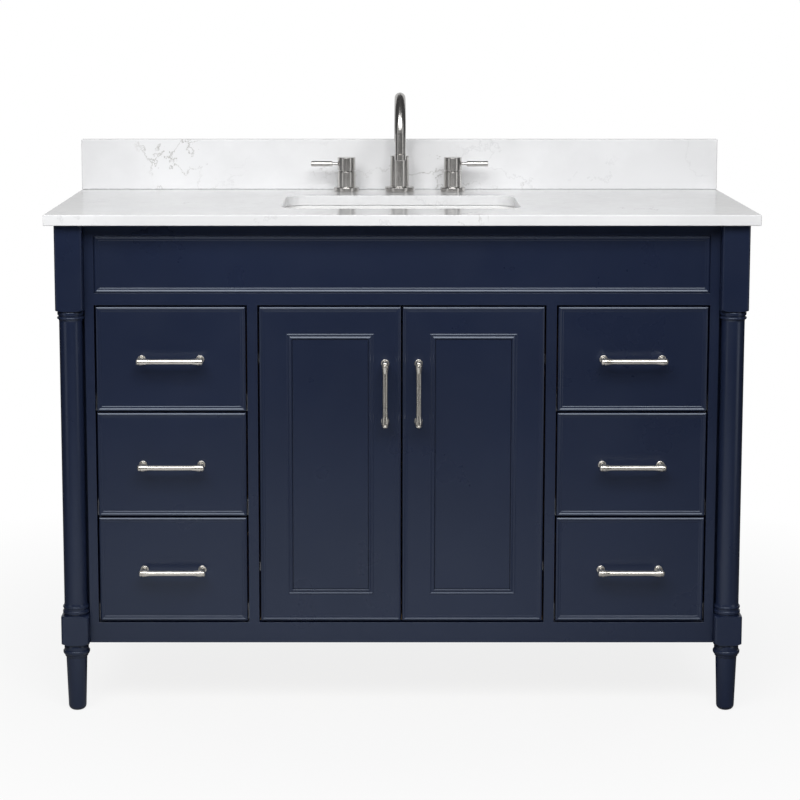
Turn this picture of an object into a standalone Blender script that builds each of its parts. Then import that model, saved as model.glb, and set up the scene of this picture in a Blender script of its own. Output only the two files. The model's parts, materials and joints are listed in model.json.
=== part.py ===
"""Bathroom vanity: a cabinet on four turned legs with two doors and six drawers, a stone top with
its backsplash, an undermount basin and a three-piece faucet.

Metres, +Z up. The origin is on the floor under the middle of the top, and the front faces -Y.
"""

import math

import bmesh
import bpy
from mathutils import Matrix

# ---------------------------------------------------------------- overall sizes
BODY_WIDTH = 1.213  # over the outer faces of the legs
BODY_DEPTH = 0.5438  # front face of the front legs to the wall
BODY_HEIGHT = 0.876  # floor to the underside of the top
BODY_BOTTOM = 0.1225  # floor to the lower edge of the cabinet
FIT = 0.0003  # between two pieces that touch

TOP_THICKNESS = 0.019
TOP_SIDE_OVERHANG = 0.0158
TOP_FRONT_OVERHANG = 0.015
TOP_EASE = 0.0015  # eased edges of the stone
SPLASH_HEIGHT = 0.098
SPLASH_THICKNESS = 0.019

# ---------------------------------------------------------------- legs
LEG_SIZE = 0.0485
LEG_EDGE = 0.0012  # softened corner of the square blocks
LEG_TOP_BLOCK = 0.148
LEG_LOW_BLOCK = 0.045
LEG_LOW_BLOCK_BOTTOM = 0.127
LEG_TONGUE = 0.004  # height over which a square block turns round
LEG_TONGUE_RADIUS = 0.0235
LEG_COLUMN_RADIUS = 0.0203
# Turned rings, as (distance past the tongue, radius), each list running away from its block
LEG_RINGS_UNDER_TOP = ((0.0015, 0.0215), (0.0045, 0.0230), (0.0105, 0.0213), (0.0140, 0.0235))
LEG_RINGS_OVER_LOW = ((0.0015, 0.0213), (0.0036, 0.0230), (0.0090, 0.0213), (0.0140, 0.0227))
LEG_RINGS_UNDER_LOW = ((0.0015, 0.0213), (0.0120, 0.0222), (0.0163, 0.0237), (0.0205, 0.0220))
LEG_RING_TO_COLUMN = 0.0035
LEG_FOOT_TOP_RADIUS = 0.0187
LEG_FOOT_RADIUS = 0.0158
LEG_FOOT_ROUNDING = 0.008
LEG_PAD_RADIUS = 0.010
LEG_PAD_ROUNDING = 0.002
LEG_PAD_SHOULDER_RADIUS = 0.0139

# ---------------------------------------------------------------- front of the cabinet
FACE_RECESS = 0.0242  # front face of the legs to the front face of the doors
FACE_THICKNESS = 0.019
TOP_RAIL = 0.0207
APRON_HEIGHT = 0.1017
MIDDLE_RAIL = 0.0213
BOTTOM_RAIL = 0.0369
STILE = 0.0165
APRON_STILE = 0.0175
MULLION = 0.0183
REVEAL = 0.003  # gap round a door or a drawer front
DOOR_WIDTH = 0.2497
DOOR_STILE = 0.0575  # with its inner moulding
DOOR_PANEL_THICKNESS = 0.006
DOOR_GROOVE = 0.008
BOTTOM_FRONT_EXTRA = 0.0023  # the lowest drawer front is this much taller
FRONT_EDGE = 0.0025  # bead along the edge of a front
DRAWERS = ("top", "middle", "bottom")

# ---------------------------------------------------------------- inside the cabinet
BACK_THICKNESS = 0.012
BOTTOM_THICKNESS = 0.018
SIDE_LINER = 0.006  # the side panel's inner skin, which runs past the legs
SIDE_PANEL_MARGIN = 0.050
SIDE_PANEL_RECESS = 0.006
RUNNER_WALL = 0.0025
RUNNER_BASE = 0.004
RUNNER_LEDGE = 0.018
RUNNER_GUIDE = 0.030
RUNNER_TIE = 0.030
RUNNING_PLAY = 0.001
BOX_WALL = 0.012
BOX_FLOOR = 0.009
BOX_DEPTH = 0.420
BOX_BELOW_FRONT = 0.040  # a drawer box is this much lower than its front

HINGE_CUP_RADIUS = 0.0175
HINGE_CUP_DEPTH = 0.011
HINGE_CUP_WALL = 0.0022
HINGE_RIM = 0.0035
HINGE_RIM_THICKNESS = 0.001
HINGE_FROM_EDGE = 0.0225
HINGE_FROM_END = 0.095
HINGE_ARM_HEIGHT = 0.016
HINGE_ARM_THICKNESS = 0.006
HINGE_ARM_LENGTH = 0.055
HINGE_ARM_REACH = 0.030
HINGE_ARM_GAP = 0.001

# ---------------------------------------------------------------- pulls
PULL_LENGTH = 0.118
PULL_CENTRES = 0.103
PULL_PROJECTION = 0.030  # face to the middle of the bar
PULL_ROD_RADIUS = 0.00425
PULL_COLLAR_RADIUS = 0.00625
PULL_COLLAR = 0.0145
PULL_END_ROUNDING = 0.0031
PULL_TAPER = 0.0025
PULL_POST_RADIUS = 0.0045
PULL_ROSE_RADIUS = 0.0070
PULL_ROSE = 0.0030
DOOR_PULL_FROM_EDGE = 0.028
DOOR_PULL_FROM_TOP = 0.152

# ---------------------------------------------------------------- basin
SINK_WIDTH = 0.430
SINK_DEPTH = 0.272
SINK_CORNER = 0.040
SINK_BEHIND_EDGE = 0.124  # front edge of the top to the cut-out
SINK_SETBACK = 0.002  # the bowl is this much larger than the cut-out all round
SINK_WALL = 0.009
SINK_FLANGE = 0.018
SINK_FLANGE_THICKNESS = 0.010
SINK_DROP = 0.135
SINK_TAPER = 0.016
SINK_FLOOR_ROUND = 0.030
SINK_FLOOR_FALL = 0.008
DRAIN_RADIUS = 0.0222
DRAIN_BORE = 0.016
DRAIN_FLANGE_RADIUS = 0.030
DRAIN_FLANGE = 0.002
DRAIN_LAND = 0.034
DRAIN_TAIL = 0.060

# ---------------------------------------------------------------- faucet
FAUCET_FROM_WALL = 0.0654
HANDLE_FROM_SPOUT = 0.103
SPOUT_BASE_HEIGHT = 0.069
SPOUT_BASE_RADIUS = 0.018
SPOUT_FLANGE_RADIUS = 0.0285
SPOUT_FLANGE = 0.009
SPOUT_TUBE_RADIUS = 0.0103
SPOUT_BEND_RADIUS = 0.065
SPOUT_HEIGHT = 0.194  # top of the top to the highest point
SPOUT_OUTLET_HEIGHT = 0.107
AERATOR_LENGTH = 0.012
AERATOR_SWELL = 1.06
VALVE_HEIGHT = 0.039
VALVE_RADIUS = 0.0175
VALVE_FLANGE_RADIUS = 0.02425
VALVE_FLANGE = 0.008
SHANK_RADIUS = 0.0125
SHANK_LENGTH = 0.045
SHANK_HOLE_RADIUS = 0.016
HUB_TOP = 0.066
HUB_RADIUS = 0.0173
LEVER_HEIGHT = 0.0535
LEVER_NECK_RADIUS = 0.00275
LEVER_NECK = 0.010
LEVER_RADIUS = 0.00525
LEVER_LENGTH = 0.051
EASE = 0.0015  # rounding on turned metal

CORNER_STEPS = 3  # facets in a rounded corner
TURN_STEPS = 16
SMALL_TURN_STEPS = 12
BORE_STEPS = 24
TUBE_ROUNDNESS = 5
CREASE_ANGLE = math.radians(35)  # faces that meet at more than this keep a sharp edge
MERGE = 0.00001
ROUND_FLAT = 0.0002  # half of the flat left between the corners of a round ring
CUTTER_PAST = 0.010  # a cutter runs this far past the wall

# ---------------------------------------------------------------- places worked out from the sizes
TOP_WIDTH = BODY_WIDTH + 2 * TOP_SIDE_OVERHANG
TOP_DEPTH = BODY_DEPTH + TOP_FRONT_OVERHANG
WALL_Y = TOP_DEPTH / 2
EDGE_Y = -TOP_DEPTH / 2
LEG_X = BODY_WIDTH / 2 - LEG_SIZE / 2
FRONT_LEG_Y = EDGE_Y + TOP_FRONT_OVERHANG + LEG_SIZE / 2
BACK_LEG_Y = WALL_Y - LEG_SIZE / 2
LEG_INNER_X = BODY_WIDTH / 2 - LEG_SIZE
CAVITY_X = LEG_INNER_X - SIDE_LINER
FACE_Y = EDGE_Y + TOP_FRONT_OVERHANG + FACE_RECESS
FACE_BACK_Y = FACE_Y + FACE_THICKNESS
BACK_Y = WALL_Y - BACK_THICKNESS
BODY_TOP = BODY_HEIGHT - FIT
OPENING_BOTTOM = BODY_BOTTOM + BOTTOM_RAIL
OPENING_TOP = BODY_HEIGHT - TOP_RAIL - APRON_HEIGHT - MIDDLE_RAIL
DOOR_BAY = DOOR_WIDTH + REVEAL + REVEAL / 2
DRAWER_BAY_IN = DOOR_BAY + MULLION
DRAWER_BAY_OUT = LEG_INNER_X - STILE
DRAWER_BAY_X = (DRAWER_BAY_IN + DRAWER_BAY_OUT) / 2
FRONT_WIDTH = DRAWER_BAY_OUT - DRAWER_BAY_IN - 2 * REVEAL
FRONT_HEIGHTS_TOTAL = OPENING_TOP - OPENING_BOTTOM - (len(DRAWERS) + 1) * REVEAL
FRONT_HEIGHT = (FRONT_HEIGHTS_TOTAL - BOTTOM_FRONT_EXTRA) / len(DRAWERS)
BOX_HEIGHT = FRONT_HEIGHT - BOX_BELOW_FRONT
BOX_WIDTH = FRONT_WIDTH + 2 * (REVEAL - RUNNER_WALL - RUNNING_PLAY)
TOP_Z = BODY_HEIGHT + TOP_THICKNESS
SINK_Y = EDGE_Y + SINK_BEHIND_EDGE + SINK_DEPTH / 2
SINK_FLOOR_Z = BODY_TOP - SINK_DROP
FAUCET_Y = WALL_Y - FAUCET_FROM_WALL

SIDES = (("left", -1), ("right", 1))

PARTS = bpy.data.collections.new("bathroom_vanity")
CUTTERS = bpy.data.collections.new("cutters")

# name: (colour, roughness, metallic)
FINISHES = {
    "navy_paint": ((0.022, 0.031, 0.052, 1), 0.45, 0.0),
    "plywood": ((0.55, 0.40, 0.25, 1), 0.60, 0.0),
    "quartz": ((0.80, 0.80, 0.81, 1), 0.15, 0.0),
    "porcelain": ((0.88, 0.88, 0.88, 1), 0.08, 0.0),
    "brushed_nickel": ((0.66, 0.63, 0.58, 1), 0.30, 1.0),
    "runner_steel": ((0.55, 0.56, 0.57, 1), 0.35, 1.0),
}


# ---------------------------------------------------------------- helpers
def clear_scene():
    for obj in list(bpy.data.objects):
        bpy.data.objects.remove(obj, do_unlink=True)
    bpy.context.scene.collection.children.link(PARTS)
    bpy.context.scene.collection.children.link(CUTTERS)


def finish_material(name):
    """The named finish, made the first time it is asked for."""
    material = bpy.data.materials.get(name)
    if material:
        return material
    colour, roughness, metallic = FINISHES[name]
    material = bpy.data.materials.new(name)
    material.use_nodes = True
    shader = material.node_tree.nodes["Principled BSDF"]
    shader.inputs["Base Color"].default_value = colour
    shader.inputs["Roughness"].default_value = roughness
    shader.inputs["Metallic"].default_value = metallic
    return material


def add(name, mesh, finish, location=(0, 0, 0), turn=0.0):
    """A part of the vanity: an object turned about Z and placed."""
    obj = bpy.data.objects.new(name, mesh)
    obj.location = location
    obj.rotation_euler.z = turn
    if not mesh.materials:
        mesh.materials.append(finish_material(finish))
    PARTS.objects.link(obj)
    return obj


def hang_on(pivot, *objects):
    """Parents objects, already placed in the world, to an empty that isn't turned."""
    for obj in objects:
        obj.parent = pivot
        obj.location -= pivot.location


def add_pivot(name, location):
    pivot = bpy.data.objects.new(name, None)
    pivot.location = location
    PARTS.objects.link(pivot)
    return pivot


def mesh_from(shape, name):
    """A mesh from a bmesh, with its faces turned outwards."""
    bmesh.ops.recalc_face_normals(shape, faces=shape.faces)
    mesh = bpy.data.meshes.new(name)
    shape.to_mesh(mesh)
    shape.free()
    return mesh


def box_mesh(name, low, high):
    size = [b - a for a, b in zip(low, high)]
    middle = [(a + b) / 2 for a, b in zip(low, high)]
    shape = bmesh.new()
    bmesh.ops.create_cube(shape, size=1)
    bmesh.ops.transform(
        shape, matrix=Matrix.Translation(middle) @ Matrix.Diagonal((*size, 1)), verts=shape.verts
    )
    return mesh_from(shape, name)


def rounded_ring(half_x, half_y, corner, height):
    """Points of a rounded rectangle, anticlockwise from its +X side."""
    points = []
    for quarter, (side_x, side_y) in enumerate(((1, 1), (-1, 1), (-1, -1), (1, -1))):
        for step in range(CORNER_STEPS + 1):
            angle = math.pi / 2 * (quarter + step / CORNER_STEPS)
            x = side_x * (half_x - corner) + corner * math.cos(angle)
            y = side_y * (half_y - corner) + corner * math.sin(angle)
            points.append((x, y, height))
    return points


def round_ring(radius, height):
    return rounded_ring(radius, radius, radius - ROUND_FLAT, height)


def loft_mesh(name, rings, looped=False):
    """A skin over rings with equal numbers of points: capped, or looped from the last to the first."""
    shape = bmesh.new()
    loops = [[shape.verts.new(point) for point in ring] for ring in rings]
    for lower, upper in zip(loops, loops[1:] + loops[:1] if looped else loops[1:]):
        for here in range(len(lower)):
            after = (here + 1) % len(lower)
            shape.faces.new((lower[here], lower[after], upper[after], upper[here]))
    if not looped:
        shape.faces.new(loops[0])
        shape.faces.new(loops[-1])
    return mesh_from(shape, name)


def baked_mesh(obj):
    """The object's mesh in the world with its modifiers applied. The object is removed."""
    bpy.context.view_layer.update()
    graph = bpy.context.evaluated_depsgraph_get()
    mesh = bpy.data.meshes.new_from_object(obj.evaluated_get(graph))
    mesh.transform(obj.matrix_world)
    bpy.data.objects.remove(obj, do_unlink=True)
    shape = bmesh.new()
    shape.from_mesh(mesh)
    bmesh.ops.remove_doubles(shape, verts=shape.verts, dist=MERGE)
    bmesh.ops.recalc_face_normals(shape, faces=shape.faces)
    shape.to_mesh(mesh)
    shape.free()
    return mesh


def helper(name, mesh):
    """An object that shapes another: a cutter, or a piece to be joined."""
    obj = bpy.data.objects.new(name, mesh)
    obj.hide_render = True
    obj.display_type = "WIRE"
    CUTTERS.objects.link(obj)
    return obj


def turned_mesh(name, profile, steps):
    """A turned body about Z from (radius, height) points, from the axis at the top to the axis below."""
    shape = bmesh.new()
    points = [shape.verts.new((radius, 0, height)) for radius, height in profile]
    for upper, lower in zip(points, points[1:]):
        shape.edges.new((upper, lower))
    line = bpy.data.meshes.new(name)
    shape.to_mesh(line)
    shape.free()
    obj = helper(name, line)
    screw = obj.modifiers.new("turn", "SCREW")
    screw.steps = screw.render_steps = steps
    screw.use_merge_vertices = True
    screw.merge_threshold = MERGE
    mesh = baked_mesh(obj)
    mesh.shade_smooth()
    mesh.set_sharp_from_angle(angle=CREASE_ANGLE)
    return mesh


def boolean(obj, other, operation):
    modifier = obj.modifiers.new(other.name, "BOOLEAN")
    modifier.operation = operation
    modifier.object = other


def cut_box(obj, name, low, high):
    boolean(obj, helper(name, box_mesh(name, low, high)), "DIFFERENCE")


def cut_bore(obj, name, radius, x, y, low, high):
    shape = bmesh.new()
    bmesh.ops.create_cone(
        shape, cap_ends=True, segments=BORE_STEPS, radius1=radius, radius2=radius, depth=high - low
    )
    bmesh.ops.translate(shape, vec=(x, y, (low + high) / 2), verts=shape.verts)
    boolean(obj, helper(name, mesh_from(shape, name)), "DIFFERENCE")


def bevel(obj, width, segments=1):
    modifier = obj.modifiers.new("ease", "BEVEL")
    modifier.width = width
    modifier.segments = segments


def mirrored_box(side, low_x, high_x, low, high):
    """Corners of a box given for the right side, on the side asked for. low and high are (y, z)."""
    ends = sorted((side * low_x, side * high_x))
    return (ends[0], *low), (ends[1], *high)


# ---------------------------------------------------------------- legs
def leg_rings():
    """Rings up the leg: foot, turned rings, square block, column, turned rings, square block."""
    half = LEG_SIZE / 2
    low_bottom = LEG_LOW_BLOCK_BOTTOM
    low_top = low_bottom + LEG_LOW_BLOCK
    top_bottom = BODY_HEIGHT - LEG_TOP_BLOCK
    foot_top = low_bottom - LEG_TONGUE - LEG_RINGS_UNDER_LOW[-1][0] - LEG_RING_TO_COLUMN
    rings = [
        round_ring(LEG_PAD_RADIUS, 0),
        round_ring(LEG_PAD_SHOULDER_RADIUS, LEG_PAD_ROUNDING),
        round_ring(LEG_FOOT_RADIUS, LEG_FOOT_ROUNDING),
        round_ring(LEG_FOOT_TOP_RADIUS, foot_top),
    ]
    for past, radius in reversed(LEG_RINGS_UNDER_LOW):
        rings.append(round_ring(radius, low_bottom - LEG_TONGUE - past))
    rings.append(round_ring(LEG_TONGUE_RADIUS, low_bottom - LEG_TONGUE))
    rings.append(rounded_ring(half, half, LEG_EDGE, low_bottom))
    rings.append(rounded_ring(half, half, LEG_EDGE, low_top))
    rings.append(round_ring(LEG_TONGUE_RADIUS, low_top + LEG_TONGUE))
    for past, radius in LEG_RINGS_OVER_LOW:
        rings.append(round_ring(radius, low_top + LEG_TONGUE + past))
    column_low = low_top + LEG_TONGUE + LEG_RINGS_OVER_LOW[-1][0] + LEG_RING_TO_COLUMN
    column_high = top_bottom - LEG_TONGUE - LEG_RINGS_UNDER_TOP[-1][0] - LEG_RING_TO_COLUMN
    rings.append(round_ring(LEG_COLUMN_RADIUS, column_low))
    rings.append(round_ring(LEG_COLUMN_RADIUS, column_high))
    for past, radius in reversed(LEG_RINGS_UNDER_TOP):
        rings.append(round_ring(radius, top_bottom - LEG_TONGUE - past))
    rings.append(round_ring(LEG_TONGUE_RADIUS, top_bottom - LEG_TONGUE))
    rings.append(rounded_ring(half, half, LEG_EDGE, top_bottom))
    rings.append(rounded_ring(half, half, LEG_EDGE, BODY_TOP))
    return rings


def build_legs():
    mesh = loft_mesh("leg", leg_rings())
    mesh.shade_smooth()
    mesh.set_sharp_from_angle(angle=CREASE_ANGLE)
    for side_name, side in SIDES:
        add(f"leg_front_{side_name}", mesh, "navy_paint", (side * LEG_X, FRONT_LEG_Y, 0))
        add(f"leg_back_{side_name}", mesh, "navy_paint", (side * LEG_X, BACK_LEG_Y, 0))


# ---------------------------------------------------------------- carcass
def build_face_frame():
    edge = LEG_INNER_X - FIT
    low = (-edge, FACE_Y, BODY_BOTTOM)
    high = (edge, FACE_BACK_Y, BODY_TOP)
    frame = add("face_frame", box_mesh("face_frame", low, high), "navy_paint")
    front = FACE_Y - CUTTER_PAST
    back = FACE_BACK_Y + CUTTER_PAST
    cut_box(
        frame, "door_bay", (-DOOR_BAY, front, OPENING_BOTTOM), (DOOR_BAY, back, OPENING_TOP)
    )
    for side_name, side in SIDES:
        corners = mirrored_box(
            side, DRAWER_BAY_IN, DRAWER_BAY_OUT, (front, OPENING_BOTTOM), (back, OPENING_TOP)
        )
        cut_box(frame, f"drawer_bay_{side_name}", *corners)
    apron_x = LEG_INNER_X - APRON_STILE
    apron_low = BODY_HEIGHT - TOP_RAIL - APRON_HEIGHT
    apron_high = BODY_HEIGHT - TOP_RAIL
    cut_box(frame, "apron_bay", (-apron_x, front, apron_low), (apron_x, back, apron_high))
    apron = add(
        "apron_panel",
        box_mesh(
            "apron_panel",
            (-apron_x + FIT, FACE_Y, apron_low + FIT),
            (apron_x - FIT, FACE_BACK_Y, apron_high - FIT),
        ),
        "navy_paint",
    )
    bevel(apron, FRONT_EDGE)


def side_panel(side_name, side):
    """A panel between the legs on one side. Its inner skin runs past them, and its face is recessed."""
    front = FACE_BACK_Y + FIT
    back = BACK_Y - FIT
    legs_front = FRONT_LEG_Y + LEG_SIZE / 2 + FIT
    legs_back = BACK_LEG_Y - LEG_SIZE / 2 - FIT
    name = f"side_panel_{side_name}"
    corners = mirrored_box(side, CAVITY_X, LEG_X, (front, BODY_BOTTOM), (back, BODY_TOP))
    panel = add(name, box_mesh(name, *corners), "navy_paint")
    notches = (
        ("front", front - CUTTER_PAST, legs_front),
        ("back", legs_back, back + CUTTER_PAST),
    )
    for notch_name, low_y, high_y in notches:
        corners = mirrored_box(
            side,
            LEG_INNER_X - FIT,
            LEG_X + CUTTER_PAST,
            (low_y, BODY_BOTTOM - CUTTER_PAST),
            (high_y, BODY_TOP + CUTTER_PAST),
        )
        cut_box(panel, f"leg_notch_{side_name}_{notch_name}", *corners)
    recess = mirrored_box(
        side,
        LEG_X - SIDE_PANEL_RECESS,
        LEG_X + CUTTER_PAST,
        (legs_front + SIDE_PANEL_MARGIN, BODY_BOTTOM + SIDE_PANEL_MARGIN),
        (legs_back - SIDE_PANEL_MARGIN, BODY_TOP - SIDE_PANEL_MARGIN),
    )
    cut_box(panel, f"side_recess_{side_name}", *recess)


def basin_clearance():
    """Corners of the space that the basin takes. A basin wider than the door bay notches the partitions."""
    half_x = SINK_WIDTH / 2 + SINK_SETBACK + SINK_FLANGE + FIT
    half_y = SINK_DEPTH / 2 + SINK_SETBACK + SINK_FLANGE + FIT
    bottom = SINK_FLOOR_Z - SINK_FLOOR_FALL - SINK_WALL - FIT
    return (-half_x, SINK_Y - half_y, bottom), (half_x, SINK_Y + half_y, BODY_HEIGHT + CUTTER_PAST)


def build_carcass():
    front = FACE_BACK_Y + FIT
    back = BACK_Y - FIT
    for side_name, side in SIDES:
        side_panel(side_name, side)
        corners = mirrored_box(
            side, DOOR_BAY, DRAWER_BAY_IN, (front, OPENING_BOTTOM + FIT), (back, BODY_TOP)
        )
        name = f"partition_{side_name}"
        partition = add(name, box_mesh(name, *corners), "plywood")
        notch_low, notch_high = basin_clearance()
        cut_box(partition, f"basin_notch_{side_name}", notch_low, notch_high)
    edge = CAVITY_X - FIT
    low = (-edge, front, OPENING_BOTTOM - BOTTOM_THICKNESS)
    add("bottom_panel", box_mesh("bottom_panel", low, (edge, back, OPENING_BOTTOM)), "plywood")
    edge = LEG_INNER_X - FIT
    low = (-edge, BACK_Y, BODY_BOTTOM)
    add("back_panel", box_mesh("back_panel", low, (edge, WALL_Y, BODY_TOP)), "plywood")


# ---------------------------------------------------------------- pulls
def pull_mesh():
    """A bar along X with a collar at each end, on two posts that stand out along -Y."""
    half = PULL_LENGTH / 2
    inner = half - PULL_COLLAR
    end = [
        (0, half),
        (PULL_COLLAR_RADIUS - PULL_END_ROUNDING, half),
        (PULL_COLLAR_RADIUS, half - PULL_END_ROUNDING),
        (PULL_COLLAR_RADIUS, inner),
        (PULL_ROD_RADIUS, inner - PULL_TAPER),
    ]
    profile = end + [(radius, -height) for radius, height in reversed(end)]
    bar = helper("pull_bar", turned_mesh("pull_bar", profile, SMALL_TURN_STEPS))
    place = Matrix.Translation((0, -PULL_PROJECTION, 0)) @ Matrix.Rotation(math.pi / 2, 4, "Y")
    bar.data.transform(place)
    post_profile = [
        (0, PULL_PROJECTION),
        (PULL_POST_RADIUS, PULL_PROJECTION),
        (PULL_POST_RADIUS, PULL_ROSE),
        (PULL_ROSE_RADIUS, PULL_ROSE),
        (PULL_ROSE_RADIUS, FIT),
        (0, FIT),
    ]
    for side in (-1, 1):
        post = helper("pull_post", turned_mesh("pull_post", post_profile, SMALL_TURN_STEPS))
        place = Matrix.Translation((side * PULL_CENTRES / 2, 0, 0)) @ Matrix.Rotation(math.pi / 2, 4, "X")
        post.data.transform(place)
        boolean(bar, post, "UNION")
    mesh = baked_mesh(bar)
    mesh.materials.clear()
    return mesh


# ---------------------------------------------------------------- doors
def door_frame(side_name, side, low_z, high_z):
    """The door's stiles and rails in one, grooved for the panel and bored for the hinge cups."""
    near = REVEAL / 2
    far = near + DOOR_WIDTH
    name = f"door_frame_{side_name}"
    corners = mirrored_box(side, near, far, (FACE_Y, low_z), (FACE_BACK_Y, high_z))
    frame = add(name, box_mesh(name, *corners), "navy_paint")
    front = FACE_Y - CUTTER_PAST
    back = FACE_BACK_Y + CUTTER_PAST
    hole = mirrored_box(
        side,
        near + DOOR_STILE,
        far - DOOR_STILE,
        (front, low_z + DOOR_STILE),
        (back, high_z - DOOR_STILE),
    )
    cut_box(frame, f"door_hole_{side_name}", *hole)
    middle_y = (FACE_Y + FACE_BACK_Y) / 2
    inset = DOOR_STILE - DOOR_GROOVE
    groove_half = DOOR_PANEL_THICKNESS / 2 + FIT
    groove = mirrored_box(
        side,
        near + inset,
        far - inset,
        (middle_y - groove_half, low_z + inset),
        (middle_y + groove_half, high_z - inset),
    )
    cut_box(frame, f"door_groove_{side_name}", *groove)
    name = f"door_panel_{side_name}"
    half = DOOR_PANEL_THICKNESS / 2
    tongue = inset + FIT
    corners = mirrored_box(
        side,
        near + tongue,
        far - tongue,
        (middle_y - half, low_z + tongue),
        (middle_y + half, high_z - tongue),
    )
    panel = add(name, box_mesh(name, *corners), "navy_paint")
    return frame, panel


def hinge_cup_mesh():
    """A cup about Y, open towards +Y, with a rim that lies on the back of the door."""
    rim_low = HINGE_CUP_DEPTH + FIT
    rim_high = rim_low + HINGE_RIM_THICKNESS
    inner = HINGE_CUP_RADIUS - HINGE_CUP_WALL
    profile = [
        (0, HINGE_CUP_WALL),
        (inner, HINGE_CUP_WALL),
        (inner, rim_high),
        (HINGE_CUP_RADIUS + HINGE_RIM, rim_high),
        (HINGE_CUP_RADIUS + HINGE_RIM, rim_low),
        (HINGE_CUP_RADIUS, rim_low),
        (HINGE_CUP_RADIUS, 0),
        (0, 0),
    ]
    mesh = turned_mesh("hinge_cup", profile, TURN_STEPS)
    mesh.transform(Matrix.Rotation(-math.pi / 2, 4, "X"))
    return mesh


def add_hinge(side_name, side, end_name, height, frame, cup_mesh):
    """Bores the door for one concealed hinge, and adds its cup and the arm on the partition."""
    pivot_x = side * (DOOR_WIDTH + REVEAL / 2)
    cup_x = pivot_x - side * HINGE_FROM_EDGE
    floor_y = FACE_BACK_Y - HINGE_CUP_DEPTH
    shape = bmesh.new()
    radius = HINGE_CUP_RADIUS + FIT
    depth = HINGE_CUP_DEPTH + FIT + CUTTER_PAST
    bmesh.ops.create_cone(
        shape, cap_ends=True, segments=TURN_STEPS, radius1=radius, radius2=radius, depth=depth
    )
    bmesh.ops.transform(
        shape,
        matrix=Matrix.Translation((cup_x, floor_y - FIT + depth / 2, height))
        @ Matrix.Rotation(math.pi / 2, 4, "X"),
        verts=shape.verts,
    )
    name = f"hinge_bore_{side_name}_{end_name}"
    boolean(frame, helper(name, mesh_from(shape, name)), "DIFFERENCE")
    cup = add(
        f"hinge_cup_{side_name}_{end_name}", cup_mesh, "runner_steel", (cup_x, floor_y, height)
    )
    arm_front = FACE_BACK_Y + FIT + HINGE_RIM_THICKNESS + HINGE_ARM_GAP
    wall = DOOR_BAY - FIT
    corners = mirrored_box(
        side,
        wall - HINGE_ARM_REACH,
        wall,
        (arm_front, height - HINGE_ARM_HEIGHT / 2),
        (arm_front + HINGE_ARM_LENGTH, height + HINGE_ARM_HEIGHT / 2),
    )
    name = f"hinge_arm_{side_name}_{end_name}"
    arm = add(name, box_mesh(name, *corners), "runner_steel")
    relief = mirrored_box(
        side,
        wall - HINGE_ARM_REACH - CUTTER_PAST,
        wall - HINGE_ARM_THICKNESS,
        (arm_front + HINGE_ARM_THICKNESS, height - HINGE_ARM_HEIGHT),
        (arm_front + HINGE_ARM_LENGTH + CUTTER_PAST, height + HINGE_ARM_HEIGHT),
    )
    cut_box(arm, f"hinge_relief_{side_name}_{end_name}", *relief)
    return cup


def build_doors(pull):
    low_z = OPENING_BOTTOM + REVEAL
    high_z = OPENING_TOP - REVEAL
    cup_mesh = hinge_cup_mesh()
    for side_name, side in SIDES:
        frame, panel = door_frame(side_name, side, low_z, high_z)
        heights = (("upper", high_z - HINGE_FROM_END), ("lower", low_z + HINGE_FROM_END))
        cups = [
            add_hinge(side_name, side, end_name, height, frame, cup_mesh)
            for end_name, height in heights
        ]
        handle = add(
            f"door_pull_{side_name}",
            pull,
            "brushed_nickel",
            (side * (REVEAL / 2 + DOOR_PULL_FROM_EDGE), FACE_Y, high_z - DOOR_PULL_FROM_TOP),
        )
        handle.rotation_euler.y = math.pi / 2
        hinge_x = side * (REVEAL / 2 + DOOR_WIDTH)
        pivot = add_pivot(f"door_pivot_{side_name}", (hinge_x, FACE_Y, (low_z + high_z) / 2))
        hang_on(pivot, frame, panel, handle, *cups)


# ---------------------------------------------------------------- drawers
def drawer_box(name, x, floor_z):
    low = (x - BOX_WIDTH / 2, FACE_BACK_Y + FIT, floor_z)
    high = (x + BOX_WIDTH / 2, FACE_BACK_Y + FIT + BOX_DEPTH, floor_z + BOX_HEIGHT)
    box = add(name, box_mesh(name, low, high), "plywood")
    hollow_low = (low[0] + BOX_WALL, low[1] + BOX_WALL, floor_z + BOX_FLOOR)
    hollow_high = (high[0] - BOX_WALL, high[1] - BOX_WALL, high[2] + CUTTER_PAST)
    cut_box(box, f"{name}_hollow", hollow_low, hollow_high)
    return box


def drawer_runner(name, side, floor_z):
    """A pair of guide rails tied at the back, from the partition to the side of the cabinet."""
    front = FACE_BACK_Y + FIT
    back = BACK_Y - FIT
    corners = mirrored_box(
        side,
        DRAWER_BAY_IN + FIT,
        CAVITY_X - FIT,
        (front, floor_z),
        (back, floor_z + RUNNER_GUIDE),
    )
    runner = add(name, box_mesh(name, *corners), "runner_steel")
    track_in = DRAWER_BAY_IN + RUNNER_WALL
    track_out = DRAWER_BAY_OUT - RUNNER_WALL
    track = mirrored_box(
        side,
        track_in,
        track_out,
        (front - CUTTER_PAST, floor_z + RUNNER_BASE),
        (back + CUTTER_PAST, floor_z + RUNNER_GUIDE + CUTTER_PAST),
    )
    cut_box(runner, f"{name}_track", *track)
    mouth = mirrored_box(
        side,
        track_in + RUNNER_LEDGE,
        track_out - RUNNER_LEDGE,
        (front - CUTTER_PAST, floor_z - CUTTER_PAST),
        (back - RUNNER_TIE, floor_z + RUNNER_GUIDE),
    )
    cut_box(runner, f"{name}_mouth", *mouth)


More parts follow.
